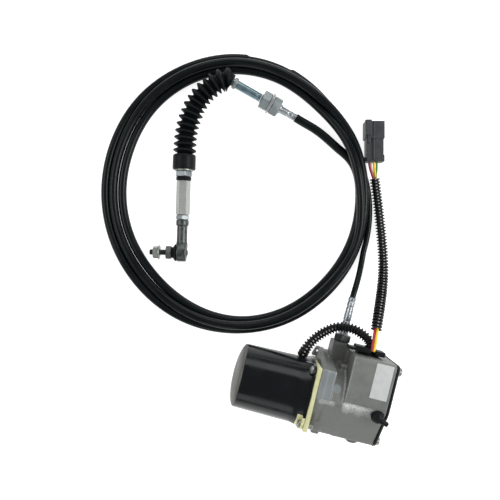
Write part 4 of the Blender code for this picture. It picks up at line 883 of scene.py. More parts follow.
class Finishes:
    """All the finishes of the part.

    After its two colours each holds the scale of its patches, the range of its roughness, how
    metallic it is, the scale of its grain, the height in metres and the strength of its bump, and
    its specular level where that isn't the usual one.
    """

    # The cast aluminium's brightest tint is the colour of painted highlights
    CAST = CastFinish("cast_aluminium", linear(106, 108, 105), linear(118, 120, 117), 60.0, (0.46, 0.6), 0.35,
                      1500.0, 0.00012, 0.45,
                      bright=linear(132, 138, 139), highlight_tint=linear(214, 216, 214))
    COVER = Finish("cast_cover", linear(112, 114, 112), linear(134, 136, 134), 90.0, (0.46, 0.6), 0.35,
                   1500.0, 0.00012, 0.45)
    COVER_BLACK = Finish("cover_black", linear(26, 28, 30), linear(38, 40, 42), 120.0, (0.4, 0.55), 0.0,
                         1500.0, 0.00006, 0.3, 0.3)
    CAN = Finish("can_gloss_black", linear(9, 12, 14), linear(13, 17, 20), 70.0, (0.16, 0.24), 0.0, 900.0,
                 0.00002, 0.2, 0.26)
    # Painted reflection: the grey of the can's end stands for the bright room reflected in its black gloss
    CAN_END = Finish("can_end_painted_reflection", linear(82, 82, 78), linear(91, 91, 87), 80.0, (0.42, 0.55), 0.1, 1400.0,
                     0.00004, 0.3)
    YELLOW_ZINC = Finish("yellow_zinc", linear(206, 205, 156), linear(216, 215, 170), 120.0, (0.36, 0.52),
                         0.25, 1500.0, 0.00004, 0.4)
    ZINC = Finish("bright_zinc", linear(164, 166, 160), linear(134, 137, 133), 160.0, (0.34, 0.48), 0.85,
                  1400.0, 0.00006, 0.4)
    FERRULE = StreakFinish("ferrule_zinc", linear(146, 152, 158), linear(108, 114, 120), 200.0, (0.24, 0.4),
                           0.85, 1400.0, 0.00008, 0.4,
                           along=160.0, around=0.5, mark=linear(206, 210, 212), amount=0.5)
    TUBE = StreakFinish("tube_zinc", linear(102, 124, 132), linear(116, 138, 146), 160.0, (0.22, 0.32), 0.85,
                        1400.0, 0.00004, 0.3,
                        along=6.0, around=1.2, mark=linear(150, 170, 178), amount=0.25)
    NUT = Finish("nut_zinc", linear(122, 130, 132), linear(140, 147, 149), 160.0, (0.34, 0.46), 0.55, 1400.0,
                 0.00006, 0.4)
    WASHER = Finish("washer_zinc", linear(186, 190, 192), linear(204, 207, 208), 200.0, (0.24, 0.36), 0.6,
                    1400.0, 0.00004, 0.3)
    COUPLER = Finish("coupler_grey", linear(158, 160, 156), linear(168, 170, 166), 60.0, (0.3, 0.42), 0.4,
                     1200.0, 0.00005, 0.35)
    ROD_END = Finish("rod_end_zinc", linear(62, 66, 65), linear(86, 90, 89), 260.0, (0.3, 0.48), 0.75, 1400.0,
                     0.00008, 0.4)
    STEEL = Finish("plain_steel", linear(150, 152, 152), linear(112, 114, 114), 300.0, (0.25, 0.4), 0.9,
                   1400.0, 0.00004, 0.3)
    RUBBER = Finish("soft_rubber", linear(6, 9, 11), linear(11, 15, 17), 130.0, (0.42, 0.56), 0.0, 1300.0,
                    0.00008, 0.5, 0.16)
    SLEEVE = StreakFinish("cable_sleeve", linear(5, 10, 11), linear(9, 15, 16), 60.0, (0.2, 0.28), 0.0,
                          1500.0, 0.00003, 0.3, 0.16,
                          along=9.0, around=2.6, mark=linear(22, 27, 29), amount=0.5)
    # The looms' speck colour is a painted highlight
    LOOM = LoomFinish("loom_black", linear(13, 14, 15), linear(20, 21, 22), 150.0, (0.3, 0.42), 0.0, 1300.0,
                      0.00004, 0.3, 0.3,
                      speck=linear(170, 172, 174))
    MOTOR_LOOM = replace(LOOM, name="motor_loom_black", reach=0.044)
    CONNECTOR = Finish("connector_grey", linear(48, 51, 53), linear(58, 61, 63), 120.0, (0.4, 0.52), 0.0,
                       1700.0, 0.00006, 0.4, 0.3)
    PLATE = Finish("bare_plate", linear(184, 186, 186), linear(192, 194, 194), 200.0, (0.4, 0.5), 0.1, 1300.0,
                   0.00002, 0.2)
    CRIMSON = Finish("wire_crimson", linear(150, 12, 48), linear(176, 22, 62), 200.0, (0.36, 0.46), 0.0,
                     1500.0, 0.00002, 0.2)
    YELLOW = Finish("wire_yellow", linear(246, 196, 12), linear(252, 208, 30), 200.0, (0.36, 0.46), 0.0,
                    1500.0, 0.00002, 0.2)
    WHITE = Finish("wire_white", linear(226, 226, 226), linear(240, 240, 238), 200.0, (0.36, 0.46), 0.0,
                   1500.0, 0.00002, 0.2)
    GREEN = Finish("wire_green", linear(40, 120, 44), linear(56, 140, 58), 200.0, (0.36, 0.46), 0.0, 1500.0,
                   0.00002, 0.2)
    BRASS = Finish("brass", linear(188, 152, 84), linear(206, 172, 104), 240.0, (0.25, 0.4), 0.95, 1400.0,
                   0.00004, 0.3)
    COPPER = Finish("winding_copper", linear(168, 88, 48), linear(192, 108, 62), 320.0, (0.3, 0.45), 0.9,
                    1500.0, 0.0001, 0.6)
    NYLON = Finish("nylon", linear(226, 222, 208), linear(236, 233, 222), 150.0, (0.42, 0.55), 0.0, 1500.0,
                   0.00004, 0.3)
    FERRITE = Finish("ferrite", linear(44, 43, 42), linear(58, 57, 55), 260.0, (0.55, 0.7), 0.0, 1600.0,
                     0.0001, 0.5)
    CARBON = Finish("carbon", linear(34, 34, 35), linear(46, 46, 47), 260.0, (0.5, 0.65), 0.1, 1600.0,
                    0.00008, 0.5)
    PLASTIC = Finish("black_plastic", linear(24, 25, 26), linear(34, 35, 36), 150.0, (0.38, 0.5), 0.0, 1500.0,
                     0.00005, 0.3)


SLOT_FINISHES: dict[str, Finish] = {
    "cast_aluminium": Finishes.COVER, "gloss_black": Finishes.CAN, "yellow_zinc": Finishes.YELLOW_ZINC,
                                    "zinc": Finishes.ZINC,
    "blue_zinc": Finishes.COUPLER, "coupler_grey": Finishes.COUPLER, "dark_zinc": Finishes.ROD_END,
                                    "steel": Finishes.STEEL,
    "rubber_black": Finishes.RUBBER, "satin_black": Finishes.RUBBER, "connector_grey": Finishes.CONNECTOR,
    "black_plastic": Finishes.PLASTIC, "nylon": Finishes.NYLON, "brass": Finishes.BRASS,
                                    "copper": Finishes.COPPER,
    "ferrite": Finishes.FERRITE, "carbon": Finishes.CARBON, "wire_red": Finishes.CRIMSON}


def dress_nodes() -> None:
    """Gives every node of the frame the finish of its material slot."""
    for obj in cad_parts.values():
        for k, held in enumerate(obj.data.materials):
            name = (held.name if held else "steel").split(".")[0]
            obj.data.materials[k] = SLOT_FINISHES.get(name, Finishes.STEEL).make()
        if not obj.data.materials:
            obj.data.materials.append(Finishes.STEEL.make())


def place(skin: Skin, name: str, finishes: Sequence[Finish], body: Body, nodes: Sequence[str] = (),
          slot: str = "",
          sharp: float = SHARP) -> Piece:
    """Makes a piece from its surfaces, dresses it and lets it ride on its body.

    Args:
        skin: the surfaces.
        name: the piece's name.
        finishes: one for each material slot.
        body: the body it rides on.
        nodes: the frame's nodes that it stands for.
        slot: the record's material slot of the piece; not used.
        sharp: the angle past which an edge stays sharp, in degrees.

    Returns:
        The piece.
    """
    made = skin.mesh(name, sharp)
    for finish in finishes:
        made.data.materials.append(finish.make())
    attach(made, body.value)
    if nodes:
        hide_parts(*nodes)
    log.info("%s: %d points, on %s", name, len(made.data.vertices), body.value)
    return made


def dressed(skin: Skin, node: str, finish: Finish, body: Body, slot: str, sharp: float = SHARP) -> Piece:
    """Makes the piece that stands for one node, in one finish and named after the node."""
    return place(skin, node + "_dressed", [finish], body, [node], slot, sharp)


def stack(outline: Array, levels: Sequence[tuple[float, float]],
          lay: Callable[[Array, float], Array]) -> Skin:
    """Stacks copies of a closed outline, each moved inwards along its own normals, and closes the ends.

    Args:
        outline: the outline, against the clock.
        levels: height and inset of each copy, from the bottom up.
        lay: turns flat points and a height into points in space.

    Returns:
        The stack's skin.
    """
    ahead = unit(np.roll(outline, -1, axis=0) - np.roll(outline, 1, axis=0))
    normal = np.stack([ahead[:, 1], -ahead[:, 0]], axis=1)
    return Skin().grid(np.stack([lay(outline - inset * normal, z) for z, inset in levels]))


def paint(obj: Piece, name: str, values: Array) -> None:
    """Keeps one value a point as the piece's own attribute."""
    obj.data.attributes.new(name, "FLOAT", "POINT").data.foreach_set("value", values.astype(np.float32))


def ramp(values: Array, low: float, high: float) -> Array:
    """Gives 0 below low, 1 above high and a smooth rise between."""
    t = np.clip((values - low) / (high - low), 0.0, 1.0)
    return t * t * (3 - 2 * t)


def pan_screw(seat: Point, outward: Point, shank: float, shank_r: float, head_r: float, head: float,
              turn: float) -> Skin:
    """Builds a pan head screw with a cross recess.

    The head's face is a polar grid: its height is the pan's curve less a cross whose arms fall to
    the recess's depth, so it is a function of the distance from the axis and the angle.

    Args:
        seat: the point on the axis where the head sits.
        outward: the direction that the head faces.
        shank: the shank's length.
        shank_r: its radius.
        head_r: the head's radius.
        head: the head's height.
        turn: how far the cross is turned.

    Returns:
        The screw's skin.
    """
    around = 48
    a = circle(around) + turn
    share = np.array([1.0, 1.0, 0.985, 0.95, 0.88, 0.78, 0.66, 0.56, 0.5, 0.44, 0.38, 0.31, 0.24, 0.17, 0.1,
                      0.04])
    rise = head * np.concatenate([[0.0, 0.35], 0.45 + 0.55 * np.sqrt(1 - share[2:] ** 2 + 1e-6)])
    x = np.abs(share[:, None] * np.cos(a)[None])
    y = np.abs(share[:, None] * np.sin(a)[None])
    large = np.maximum(x, y)
    arm = (np.maximum(1 - ramp(np.minimum(x, y), 0.07, 0.13), 1 - ramp(large, 0.1, 0.2))
           * (1 - ramp(large, 0.42, 0.56)))
    back = np.array([-shank, -shank + 0.6, -0.01, 0.0])
    far = np.concatenate([np.broadcast_to(back[:, None], (4, around)), rise[:, None] - 0.55 * head * arm])
    out = np.concatenate([[shank_r - 0.5, shank_r, shank_r, head_r * 0.96], share * head_r])
    reach = np.broadcast_to(out[:, None], far.shape)
    return Skin().grid(Axis(seat, outward).rings(far, reach, around), along=np.arange(len(far)) * 0.1 * MM)


@dataclass
class GearHousing:
    """The cast gear housing with its bosses, chamber and bare plate."""

    top: float = 66.0
    front: float = 32.3
    shaft: tuple[float, float] = (-8.0, 33.0)
    out: tuple[float, float] = (4.5, 13.0)
    motor_screws: tuple[tuple[float, float], ...] = ((17.0, 58.5), (-33.0, 58.5), (17.0, 7.5), (-33.0, 7.5))
    cover_screws: tuple[tuple[float, float], ...] = ((34.3, 60.2), (-34.6, 44.0), (34.3, 5.6), (-34.6, 5.6))
    pitch: float = 0.8

    def casting(self) -> Lattice:
        """Builds the solid as a field: joined blocks and bosses, less the chamber and the bores."""
        s = Lattice((-38.5, -43.5, -1.6), (34.5, 46.5, 68.0), self.pitch)
        roof = [(-3, 66), (-7, 64.8), (-14.7, 60.5), (-36.5, 49.4), (-39.3, 46.8), (-40, 43.6)]
        s.add(s.prism("x", [(-40, 0), (40, 0), (40, 63), (39.1, 65.1), (37, 66), *roof], -7.0, self.front,
                      0.8), 0.5)
        slope = [(-2, 61.5), (-8, 62.6), (-14.7, 60.1), (-36.5, 49.1), (-39.1, 46.6), (-39.8, 43.6)]
        s.add(s.prism("x", [(-39.8, 0.2), (10, 0.2), (10, 56), *slope], -29.0, -3.0, 0.8), 0.8)
        neck = s.rod("x", self.shaft, 30.5, -22.7, -4.0, 0.6)
        s.add(soft_max(neck, s.slab([(0.0, -0.45, 0.893, 60.6)]), 0.6), 1.6)
        s.add(s.box((-22.7, -36.0, 0.2), (-4.0, 26.0, 30.0), 1.2), 1.6)
        flange = [(-37.5, 0.4), (32, 0.4), (32, 6), (21.4, 65.5), (-8, 65.5), (-15, 60.6), (-37.5, 49.0)]
        s.add(s.prism("x", flange, -32.1, -26.5, 0.5), 0.4)
        block = [(-38, 0.5), (31.0, 0.5), (31.0, 6), (21.3, 65.45), (-8, 65.45), (-15, 60.3), (-38, 48.4)]
        s.add(s.prism("x", block, -31.0, -18.7, 0.7), 0.8)
        pad = [(-38.4, 38), (-27.6, 38), (-27.6, 54.3), (-36.6, 49.8), (-38.6, 47.5)]
        s.add(s.prism("x", pad, -26.6, -18.0, 0.3), 0.2)
        s.add(s.box((-22.7, 18.0, 6.0), (-7.0, 44.3, 30.0), 1.0), 1.2)
        s.add(s.box((-13.0, 12.0, 26.0), (-4.0, 26.5, 44.0), 2.0), 2.0)
        lug = [(-36.8, 22.6), (-19, 22.6), (-19, 27.5), (-32, 32.5), (-34, 32), (-36.8, 24)]
        s.add(s.prism("z", lug, 0.0, 6.2, 0.9), 1.0)
        s.add(s.box((-26.0, -41.6, 0.15), (-19.0, -35.0, 46.4), 1.0), 1.0)
        s.add(s.rod("z", (14.0, -36.0), 8.0, 0.1, 40.0, 1.6), 1.2)
        s.cut(s.prism("z", [(16.0, -30.2), (20.8, -30.2), (18.8, -38.0)], 49.6, 60.0, 0.4), 0.4)
        s.cut(s.rod("x", (29.0, 47.0), 1.2, -33.0, -22.0), 0.2)
        chamber = [(-36.3, 4), (36.3, 4), (36.3, 62.3), (-3, 62.3), (-36.3, 45.6)]
        s.cut(s.prism("x", chamber, -3.7, 34.5, 2.0), 0.5)
        for at in self.cover_screws:
            s.add(s.rod("x", at, 4.4, -6.0, self.front), 1.2)
        for low, high in ((2.0, 10.0), (53.0, 64.0)):
            s.add(s.rod("z", self.out, 11.0, low, high), 1.2)
        bores = (("z", self.out, 21.5, 12.0, 26.0), ("z", self.out, 16.1, 25.5, 40.5),
                 ("x", self.shaft, 9.0, -23.2, 0.0),
                 ("x", self.shaft, 11.2, -34.0, -23.0), ("z", self.out, 8.15, -2.0, 11.0),
                 ("z", self.out, 8.15, 52.0, 62.6),
                 ("y", (-13.5, 19.0), 2.3, 15.0, 46.0))
        for bore in bores:
            s.cut(s.rod(*bore))
        s.cut(s.box((-16.0, -15.5, 16.0), (-11.0, 14.0, 22.0)))
        s.cut(s.box((-2.0, 34.0, 33.0), (19.0, 42.0, 47.0), 0.8))
        s.cut(s.rod("z", (-31.9, 27.8), 1.5, -1.0, 8.0), 0.3)
        for at in self.motor_screws:
            s.cut(s.rod("x", at, 2.6, -34.0, -26.0), 0.3)
        for at in self.cover_screws:
            s.cut(s.rod("x", at, 2.2, 20.3, 34.0), 0.3)
        return s

    def bare_plate(self) -> Skin:
        """Builds the bare pale plate on the top, a slab with rounded corners and a soft rim."""
        outline = closed_outline([(13.6, 6.6), (29.4, 6.6), (29.4, 38.4), (13.6, 38.4)], 0.7)
        levels = [(self.top - 0.2, 0.0), (self.top + 0.12, 0.0), (self.top + 0.22, 0.1),
                  (self.top + 0.24, 0.5)]
        return stack(outline, levels, lambda p, z: np.column_stack([p, np.full(len(p), z)]))

    def build(self) -> None:
        """Makes the casting, with its milled places, its painted highlights and rubbed streak, and its
        painted shade marked, and the plate.
        """
        points, quads = self.casting().skin()
        made = place(Skin().raw(points, quads), "casting", [Finishes.CAST], Body.ACTUATOR, ["gear_housing"],
                     "cast_aluminium", 60.0)
        x, y, z = points.T
        pad = ramp(z, 64.2, 64.8) * (1 - ramp(x, -19.4, -18.6)) * ramp(y, -6.5, -5.0)
        spot = 1 - ramp(np.hypot(x + 14.5, y - 6.2), 3.2, 4.2)
        mark = 1 - ramp(np.hypot(x + 3.8, y - 34.1), 0.8, 1.6)
        paint(made, "milled", np.maximum(pad, np.maximum(spot, 0.8 * mark) * ramp(z, 55.0, 57.0)))
        # Painted highlights: a bright band on the slope under the raised top, a rim line where the neck meets
        # the box's wall and a line on the top's edge; the streak along the milled top's edge is rubbed
        wander = 1.1 * np.sin(0.55 * x) + 0.6 * np.sin(1.7 * x + 1.0)
        low = ramp(-y, 2.2, 3.6) * (1 - ramp(-y + wander, 9.5, 13.5))
        fade = 1 - 0.62 * ramp(-y + 0.7 * wander, 4.5, 9.0)
        band = low * fade * ramp(z, 57.0, 58.5) * ramp(x, -8.2, -6.8) * (1 - 0.7 * ramp(x, 2.0, 24.0))
        streak = ramp(-y, 4.6, 5.6) * (1 - ramp(-y + 0.4 * wander, 8.0, 10.0)) * ramp(z, 58.0, 60.0)
        streak = streak * ramp(x, -30.0, -28.0) * (1 - ramp(x, -16.0, -13.0))
        out = np.hypot(y + 8.0, z - 33.0)
        rim = (0.4 * (1 - ramp(np.abs(x + 8.0), 0.5, 1.3)) * (1 - ramp(np.abs(out - 31.0), 0.6, 1.5))
               * ramp(y, -6.0, -3.0))
        edge = 0.25 * (1 - ramp(np.abs(x + 6.4), 0.3, 1.0)) * ramp(z, 64.6, 65.2) * ramp(y, -4.0, 0.0)
        paint(made, "painted_highlight_and_rub", np.maximum.reduce([band, 0.4 * streak, rim, edge]))
        # Painted shade: the box's left wall above the neck and the low cable boss are darkened
        wall = ((1 - ramp(np.abs(x + 7.2), 0.5, 1.2)) * (1 - ramp(z, 63.5, 65.0)) * ramp(z, 20.0, 30.0)
                * ramp(y, -6.0, -3.0))
        boss = (0.5 * (1 - ramp(x, -9.0, -7.6)) * ramp(y, 24.0, 27.0) * (1 - ramp(z, 31.0, 38.0))
                * ramp(x, -26.0, -23.2))
        paint(made, "painted_shade", np.maximum(0.45 * wall, boss) * (1 - rim))
        place(self.bare_plate(), "bare_plate", [Finishes.PLATE], Body.ACTUATOR)

    def cover(self) -> None:
        """Makes the thin dark end cover, the housing's end outline drawn out along x."""
        corners = [(-39.8, 0.6), (39.8, 0.6), (39.8, 63.0), (38.9, 64.9), (36.9, 65.8), (-3.0, 65.8),
                   (-7.0, 64.6),
                   (-14.7, 60.3), (-36.4, 49.2), (-39.1, 46.6), (-39.8, 43.6)]
        levels = [(33.2, 0.3), (33.3, 0.0), (34.4, 0.0), (34.7, 0.3)]
        skin = stack(closed_outline(corners, 0.8, 4), levels,
                     lambda p, x: np.column_stack([np.full(len(p), x), p]))
        dressed(skin, "end_cover", Finishes.COVER_BLACK, Body.ACTUATOR, "cast_aluminium")

    def screws(self) -> None:
        """Makes the four cover screws, each with its raised seat."""
        for i, (y, z) in enumerate(self.cover_screws):
            skin = pan_screw((35.7, y, z), (1, 0, 0), 13.0, 2.0, 3.9, 2.8, 0.3 + i)
            lathe(skin, Axis((34.75, y, z), (1, 0, 0)), [(0.0, 2.2), (0.0, 4.3), (0.9, 4.3), (0.9, 2.2)], 40,
                  0.15, ring=True)
            dressed(skin, f"cover_screw_{i + 1}", Finishes.ZINC, Body.ACTUATOR, "zinc")


@dataclass
class MotorUnit:
    """The motor's can with its domed end and square flange, and the screws that hold it."""

    axis_y: float = -8.0
    axis_z: float = 33.0
    rim_x: float = -101.0
    dome: float = 7.3
    rear_r: float = 29.8
    front_r: float = 30.8
    flange_back: float = -39.3
    flange_front: float = -36.9
    flange_r: float = 39.5
    rim_r: float = 33.6
    half_y: float = 29.5
    half_z: float = 32.5
    inner: float = 28.2

    def can(self) -> Skin:
        """Builds the can: rings whose reach goes from a circle to the rounded square of the flange.

        The end is an ellipse, its distance dome times the cosine and its reach the rim times the
        sine. In the flare, reach moves from the circle to the smallest of the flange's circle and
        its two pairs of flats, eased where they meet. The slots are 0 for the can, 1 for its end,
        whose grey is a painted reflection, and 2 for the flange's low corners.
        """
        around = 160
        a = 2 * math.pi * (np.arange(around) + 0.5) / around
        flats = soft_min(self.half_y / np.abs(np.cos(a)), self.half_z / np.abs(np.sin(a)), 3.0)
        corner = soft_min(np.minimum(flats, 80.0), np.full(around, self.flange_r), 2.0)
        lift = np.maximum(corner - self.front_r, 0.4)
        turn = np.radians(np.linspace(3.0, 86.0, 22))
        edge = np.radians(np.linspace(10.0, 90.0, 7))
        far = np.concatenate([self.rim_x - self.dome * np.cos(turn), self.rim_x + 0.9 - 0.9 * np.cos(edge),
                              np.linspace(self.rim_x + 2.0, -53.0, 24)])
        reach = np.concatenate([self.rear_r * np.sin(turn), self.rear_r - 0.55 + 0.6 * np.sin(edge),
                                np.linspace(self.rear_r + 0.07, self.front_r, 24)])
        flare = np.array([-52.0, -50.0, -48.2, -46.5, -45.0, -43.8, -42.8, -41.9, -41.1, -40.3, -39.7,
                          self.flange_back])
        share = ramp(flare, -52.5, -40.2) * 0.95 + 0.05 * ramp(flare, -41.0, self.flange_back)
        side = np.array([self.flange_back, self.flange_back + 0.3, self.flange_front - 0.3,
                         self.flange_front])
        lip = np.minimum(lift, self.rim_r - self.front_r)
        wide = np.maximum(lift, self.rim_r - 0.1 - self.front_r)
        within = np.array([[self.flange_front, self.inner], [self.rim_x + 1, self.inner],
                           [self.rim_x - 1.5, self.inner - 2],
                           [self.rim_x - 3.2, self.inner - 6], [self.rim_x - 3.2, 9.6],
                           [self.rim_x + 2.5, 9.6],
                           [self.rim_x + 2.5, 8.15], [self.rim_x - 3.7, 8.15]])
        x = np.concatenate([far, flare, side, within[:, 0]])
        r = np.concatenate([reach[:, None] + np.zeros((1, around)), self.front_r + share[:, None] * lip,
                            self.front_r + np.array([0.985, 1.0, 1.0, 0.985])[:, None] * wide,
                            within[:, 1:] + np.zeros((1, around))])
        ring = np.stack([np.broadcast_to(x[:, None], r.shape), self.axis_y + r * np.cos(a),
                         self.axis_z + r * np.sin(a)], axis=-1)
        skin = Skin().grid(ring, along=x * MM)
        walls, back = skin.slots[0].reshape(-1, around), skin.slots[1]
        walls[:len(turn) + 3] = 1
        back[:] = 1
        ears = len(reach) + len(flare) - 1
        walls[ears - 6:ears + 4, (np.cos(a) < -0.47) & (corner > self.rim_r + 0.2)] = 2
        return skin

    def build(self) -> None:
        """Makes the can and its four screws."""
        finishes = [Finishes.CAN, Finishes.CAN_END, Finishes.YELLOW_ZINC]
        place(self.can(), "can_shell", finishes, Body.ACTUATOR, ["motor_can"], "gloss_black", 38.0)
        for i, (side, rise) in enumerate(((1, 1), (-1, 1), (1, -1), (-1, -1))):
            seat = (self.flange_back - 0.1, self.axis_y + side * 25.0, self.axis_z + rise * 25.5)
            skin = pan_screw(seat, (-1, 0, 0), 12.0, 2.4, 3.8, 3.0, 0.5 + 0.7 * i)
            dressed(skin, f"motor_screw_{i + 1}", Finishes.ZINC, Body.ACTUATOR, "zinc")


@dataclass
class CableEntry:
    """The gland nut and the crimped ferrule where the cable leaves the gearbox."""

    x: float = -13.5
    z: float = 19.0
    start: float = 44.6
    end: float = 88.0

    def build(self) -> None:
        """Makes the nut and the ferrule, a turned profile with crimp grooves near its far end."""
        axis = Axis((self.x, 0.0, self.z), (0, 1, 0))
        nut = hex_nut(Skin(), axis, self.start, self.start + 6.4, 15.0, 4.9, 0.25)
        dressed(nut, "gland_nut", Finishes.ROD_END, Body.ACTUATOR, "zinc")
        steps = [(0.0, 1.6), (0.0, 4.4), (12.4, 4.4), (13.2, 3.9), (19.0, 3.9), (19.6, 3.5), (20.6, 3.5),
                 (21.2, 3.9), (27.4, 3.9),
                 (28.4, 3.6), (33.0, 3.6), (33.5, 3.2), (34.3, 3.2), (34.8, 3.6), (38.6, 3.6), (39.1, 3.2),
                 (39.9, 3.2), (40.4, 3.6)]
        profile = [(self.start + far, reach) for far, reach in steps]
        skin = lathe(Skin(), axis, [*profile, (self.end - 0.8, 3.6), (self.end, 3.1), (self.end, 1.6)], 40,
                     0.3, ring=True)
        dressed(skin, "entry_ferrule", Finishes.FERRULE, Body.ACTUATOR, "zinc")


@dataclass
class ControlCable:
    """The push and pull cable: from the ferrule, three turns and a part round the coil, to the hub.

    Outer and inner are how far the coil's band lies from its centre, at each step round it.
    """

    radius: float = 4.25
    bare: float = 2.9
    length: float = 2.59
    steps: int = 16
    centre: tuple[float, float] = (-14.9, 56.0)
    outer: tuple[float, ...] = (133.0, 129.0, 131.5, 136.5, 138.8, 138.0, 136.7, 134.1,
                                134.1, 135.1, 136.0, 138.0, 139.2, 139.5, 138.0, 137.0)
    inner: tuple[float, ...] = (119.8, 116.1, 115.4, 116.8, 118.2, 116.5, 112.8, 108.6,
                                106.3, 105.9, 108.7, 115.1, 121.0, 122.1, 120.6, 120.5)

    def ring_place(self, step: int, reach: float, z: float) -> Array:
        """Gives a place in the coil at a number of steps round it, a reach from its centre and a height."""
        a = 2 * math.pi * step / self.steps
        return table(self.centre[0] + reach * math.cos(a), self.centre[1] + reach * math.sin(a), z)

    def route(self) -> Array:
        """Gives the places that the cable passes.

        In each turn the outer, middle and inner strand lie side by side where the coil's band is
        wide. Where it is narrow the middle one rises on the other two, to the height at which it is
        a cable's width and 0.2 mm from each. On the right, where the strands cross, their reach and
        height are set one by one, by turn and step.
        """
        wide = 2 * self.radius
        low = self.radius + 0.2
        right = {(0, 0): (132.4, 3.9), (1, 0): (127.2, 11.5), (2, 0): (122.0, 17.6), (3, 0): (123.6, low),
                 (0, 1): (126.2, 4.6), (1, 1): (126.8, 12.2), (2, 1): (120.2, 16.0),
                 (0, 2): (127.45, 4.6), (1, 2): (125.2, 12.4), (2, 2): (118.4, 7.2),
                 (0, 15): (131.4, 4.6), (1, 15): (128.8, 11.0), (2, 15): (124.4, 5.6)}
        lead_in = [(-13.5, 86.0, 19.0), (-13.4, 89.5, 18.8), (-12.9, 95.0, 17.4), (-12.1, 102.0, 14.6),
                   (-11.4, 109.5, 11.2),
                   (-11.0, 118.0, 7.9), (-11.1, 127.0, 5.6), (-11.4, 136.0, 4.6)]
        lead_out = [(105.0, 79.5, low), (98.2, 91.0, 4.3), (88.3, 99.7, 5.0), (77.5, 109.0, 6.1),
                    (64.0, 119.2, 7.6),
                    (50.4, 127.0, 8.6), (45.0, 130.2, 9.1)]
        places = [*[vector(*p) for p in lead_in], self.ring_place(-1, 139.2, 4.5)]
        for step in range(3 * self.steps + 1):
            turn, k = divmod(step, self.steps)
            if (turn, k) in right:
                reach, z = right[(turn, k)]
            else:
                middle = 0.5 * (self.outer[k] + self.inner[k])
                beside = min(0.5 * (self.outer[k] - self.inner[k]) - low, wide - 0.15)
                reach = middle + (1 - turn) * beside
                z = low + (math.sqrt(max(1.0, (wide + 0.2) ** 2 - beside ** 2)) if turn == 1 else 0.0)
            places.append(self.ring_place(step, reach, z))
        return np.array(places + [table(*p) for p in lead_out])

    def build(self) -> tuple[Piece, Array]:
        """Makes the cable, bare at its start and at the break in its sleeve, and gives it with its line."""
        line = smooth_line(self.route(), 2.6)
        centre = table(*self.centre, 0.0)
        angle = np.unwrap(np.arctan2(line[:, 1] - centre[1], line[:, 0] - centre[0]))
        turned = np.degrees(angle) - TURN_DEGREES
        turned -= 360.0 * round(turned[0] / 360.0)
        sleeve_start, gap_start, gap_end, step = 19.0, 65.0, 84.5, 0.6
        sleeved = ramp(turned, sleeve_start, sleeve_start + 1.0)
        sleeved *= 1 - ramp(turned, gap_start, gap_start + step) * (1 - ramp(turned, gap_end - step, gap_end))
        skin = tube(line, self.bare + (self.radius - self.bare) * sleeved, 24)
        nodes = ["cable_lead_in", "cable_coil", "cable_lead_out"]
        made = place(skin, "control_cable", [Finishes.SLEEVE], Body.ACTUATOR, nodes, "satin_black", 50.0)
        log.info("control cable: %.3f m", line_distances(line)[-1] * MM)
        return made, line


@dataclass
class Hub:
    """The hub at the cable's far end: ferrule, nuts, lock washers, support tube and cap."""

    start: Point = (46.7, 129.1, 8.8)
    end: Point = (-15.35, 162.1, 17.6)

    def axis(self) -> Axis:
        """Gives the hub's axis, from the cable towards the bellows."""
        a, b = table(*self.start), table(*self.end)
        return Axis(tuple(a), tuple(b - a))

    def toothed_washer(self, low: float, high: float) -> Skin:
        """Builds a lock washer: a ring whose rim steps in and out twenty times round."""
        around = 160
        teeth = ramp(np.sin(20 * circle(around)), -0.4, 0.4)[None]
        far = np.array([low, low, low + 0.15, high - 0.15, high, high])
        rise = np.array([0.0, 0.75, 0.75, 0.75, 0.75, 0.0])
        out = np.array([5.35, 9.4, 9.7, 9.7, 9.4, 5.35])[:, None] + teeth * rise[:, None]
        return Skin().grid(self.axis().rings(far, out, around), True, along=far * MM)

    def build(self) -> list[Piece]:
        """Makes the hub's pieces and gives them."""
        axis = self.axis()
        profile = [(0.2, 1.6), (0.2, 3.4), (0.9, 3.6), (4.6, 3.6), (5.1, 3.25), (5.9, 3.25), (6.4, 3.6),
                   (9.6, 3.6), (10.1, 3.25),
                   (10.9, 3.25), (11.4, 3.6), (17.8, 3.6), (19.2, 4.6), (19.8, 4.7), (41.0, 4.3), (41.0, 1.6)]
        ferrule = lathe(Skin(), axis, profile, 40, 0.3, ring=True)
        threaded(ferrule, axis, 19.4, 40.9, 5.0, 1.25)
        made = [dressed(ferrule, "hub_ferrule", Finishes.FERRULE, Body.ACTUATOR, "zinc")]
        for name, low, high, turn in (("hub_nut_1", 20.5, 28.9, 0.35), ("hub_nut_2", 31.7, 40.2, 0.1)):
            nut = hex_nut(Skin(), axis, low, high, 17.0, 5.3, turn)
            made.append(dressed(nut, name, Finishes.NUT, Body.ACTUATOR, "zinc"))
        for name, low, high in (("lock_washer_1", 29.2, 30.1), ("lock_washer_2", 30.5, 31.4)):
            made.append(dressed(self.toothed_washer(low, high), name, Finishes.WASHER, Body.ACTUATOR,
                                "steel"))
        profile = [(41.4, 2.2), (41.4, 4.1), (44.6, 4.1), (44.9, 3.9), (45.6, 3.9), (45.9, 4.1), (73.4, 4.1),
                   (73.4, 2.2)]
        support = lathe(Skin(), axis, profile, 40, 0.3, ring=True)
        made.append(dressed(support, "support_tube", Finishes.TUBE, Body.ACTUATOR, "blue_zinc"))
        cap = lathe(Skin(), axis, [(68.0, 4.4), (68.0, 5.6), (71.4, 5.6), (71.4, 4.4)], 40, 0.4, ring=True)
        made.append(dressed(cap, "tube_cap", Finishes.ZINC, Body.ACTUATOR, "steel"))
        return made


# The end's axis on the table: the cuff's top, the way it runs, its height, and how far down the ball is
END_TOP = (-64.2, 94.4)
END_RUN = (-0.030, -0.99955)
END_Z = 11.6
BALL_DOWN = 97.2


def end_point(down: float) -> Array:
    """Gives a place on the end's axis, a distance down from the top of the bellows' cuff, in mm."""
    return table(END_TOP[0] + END_RUN[0] * down, END_TOP[1] + END_RUN[1] * down, END_Z)


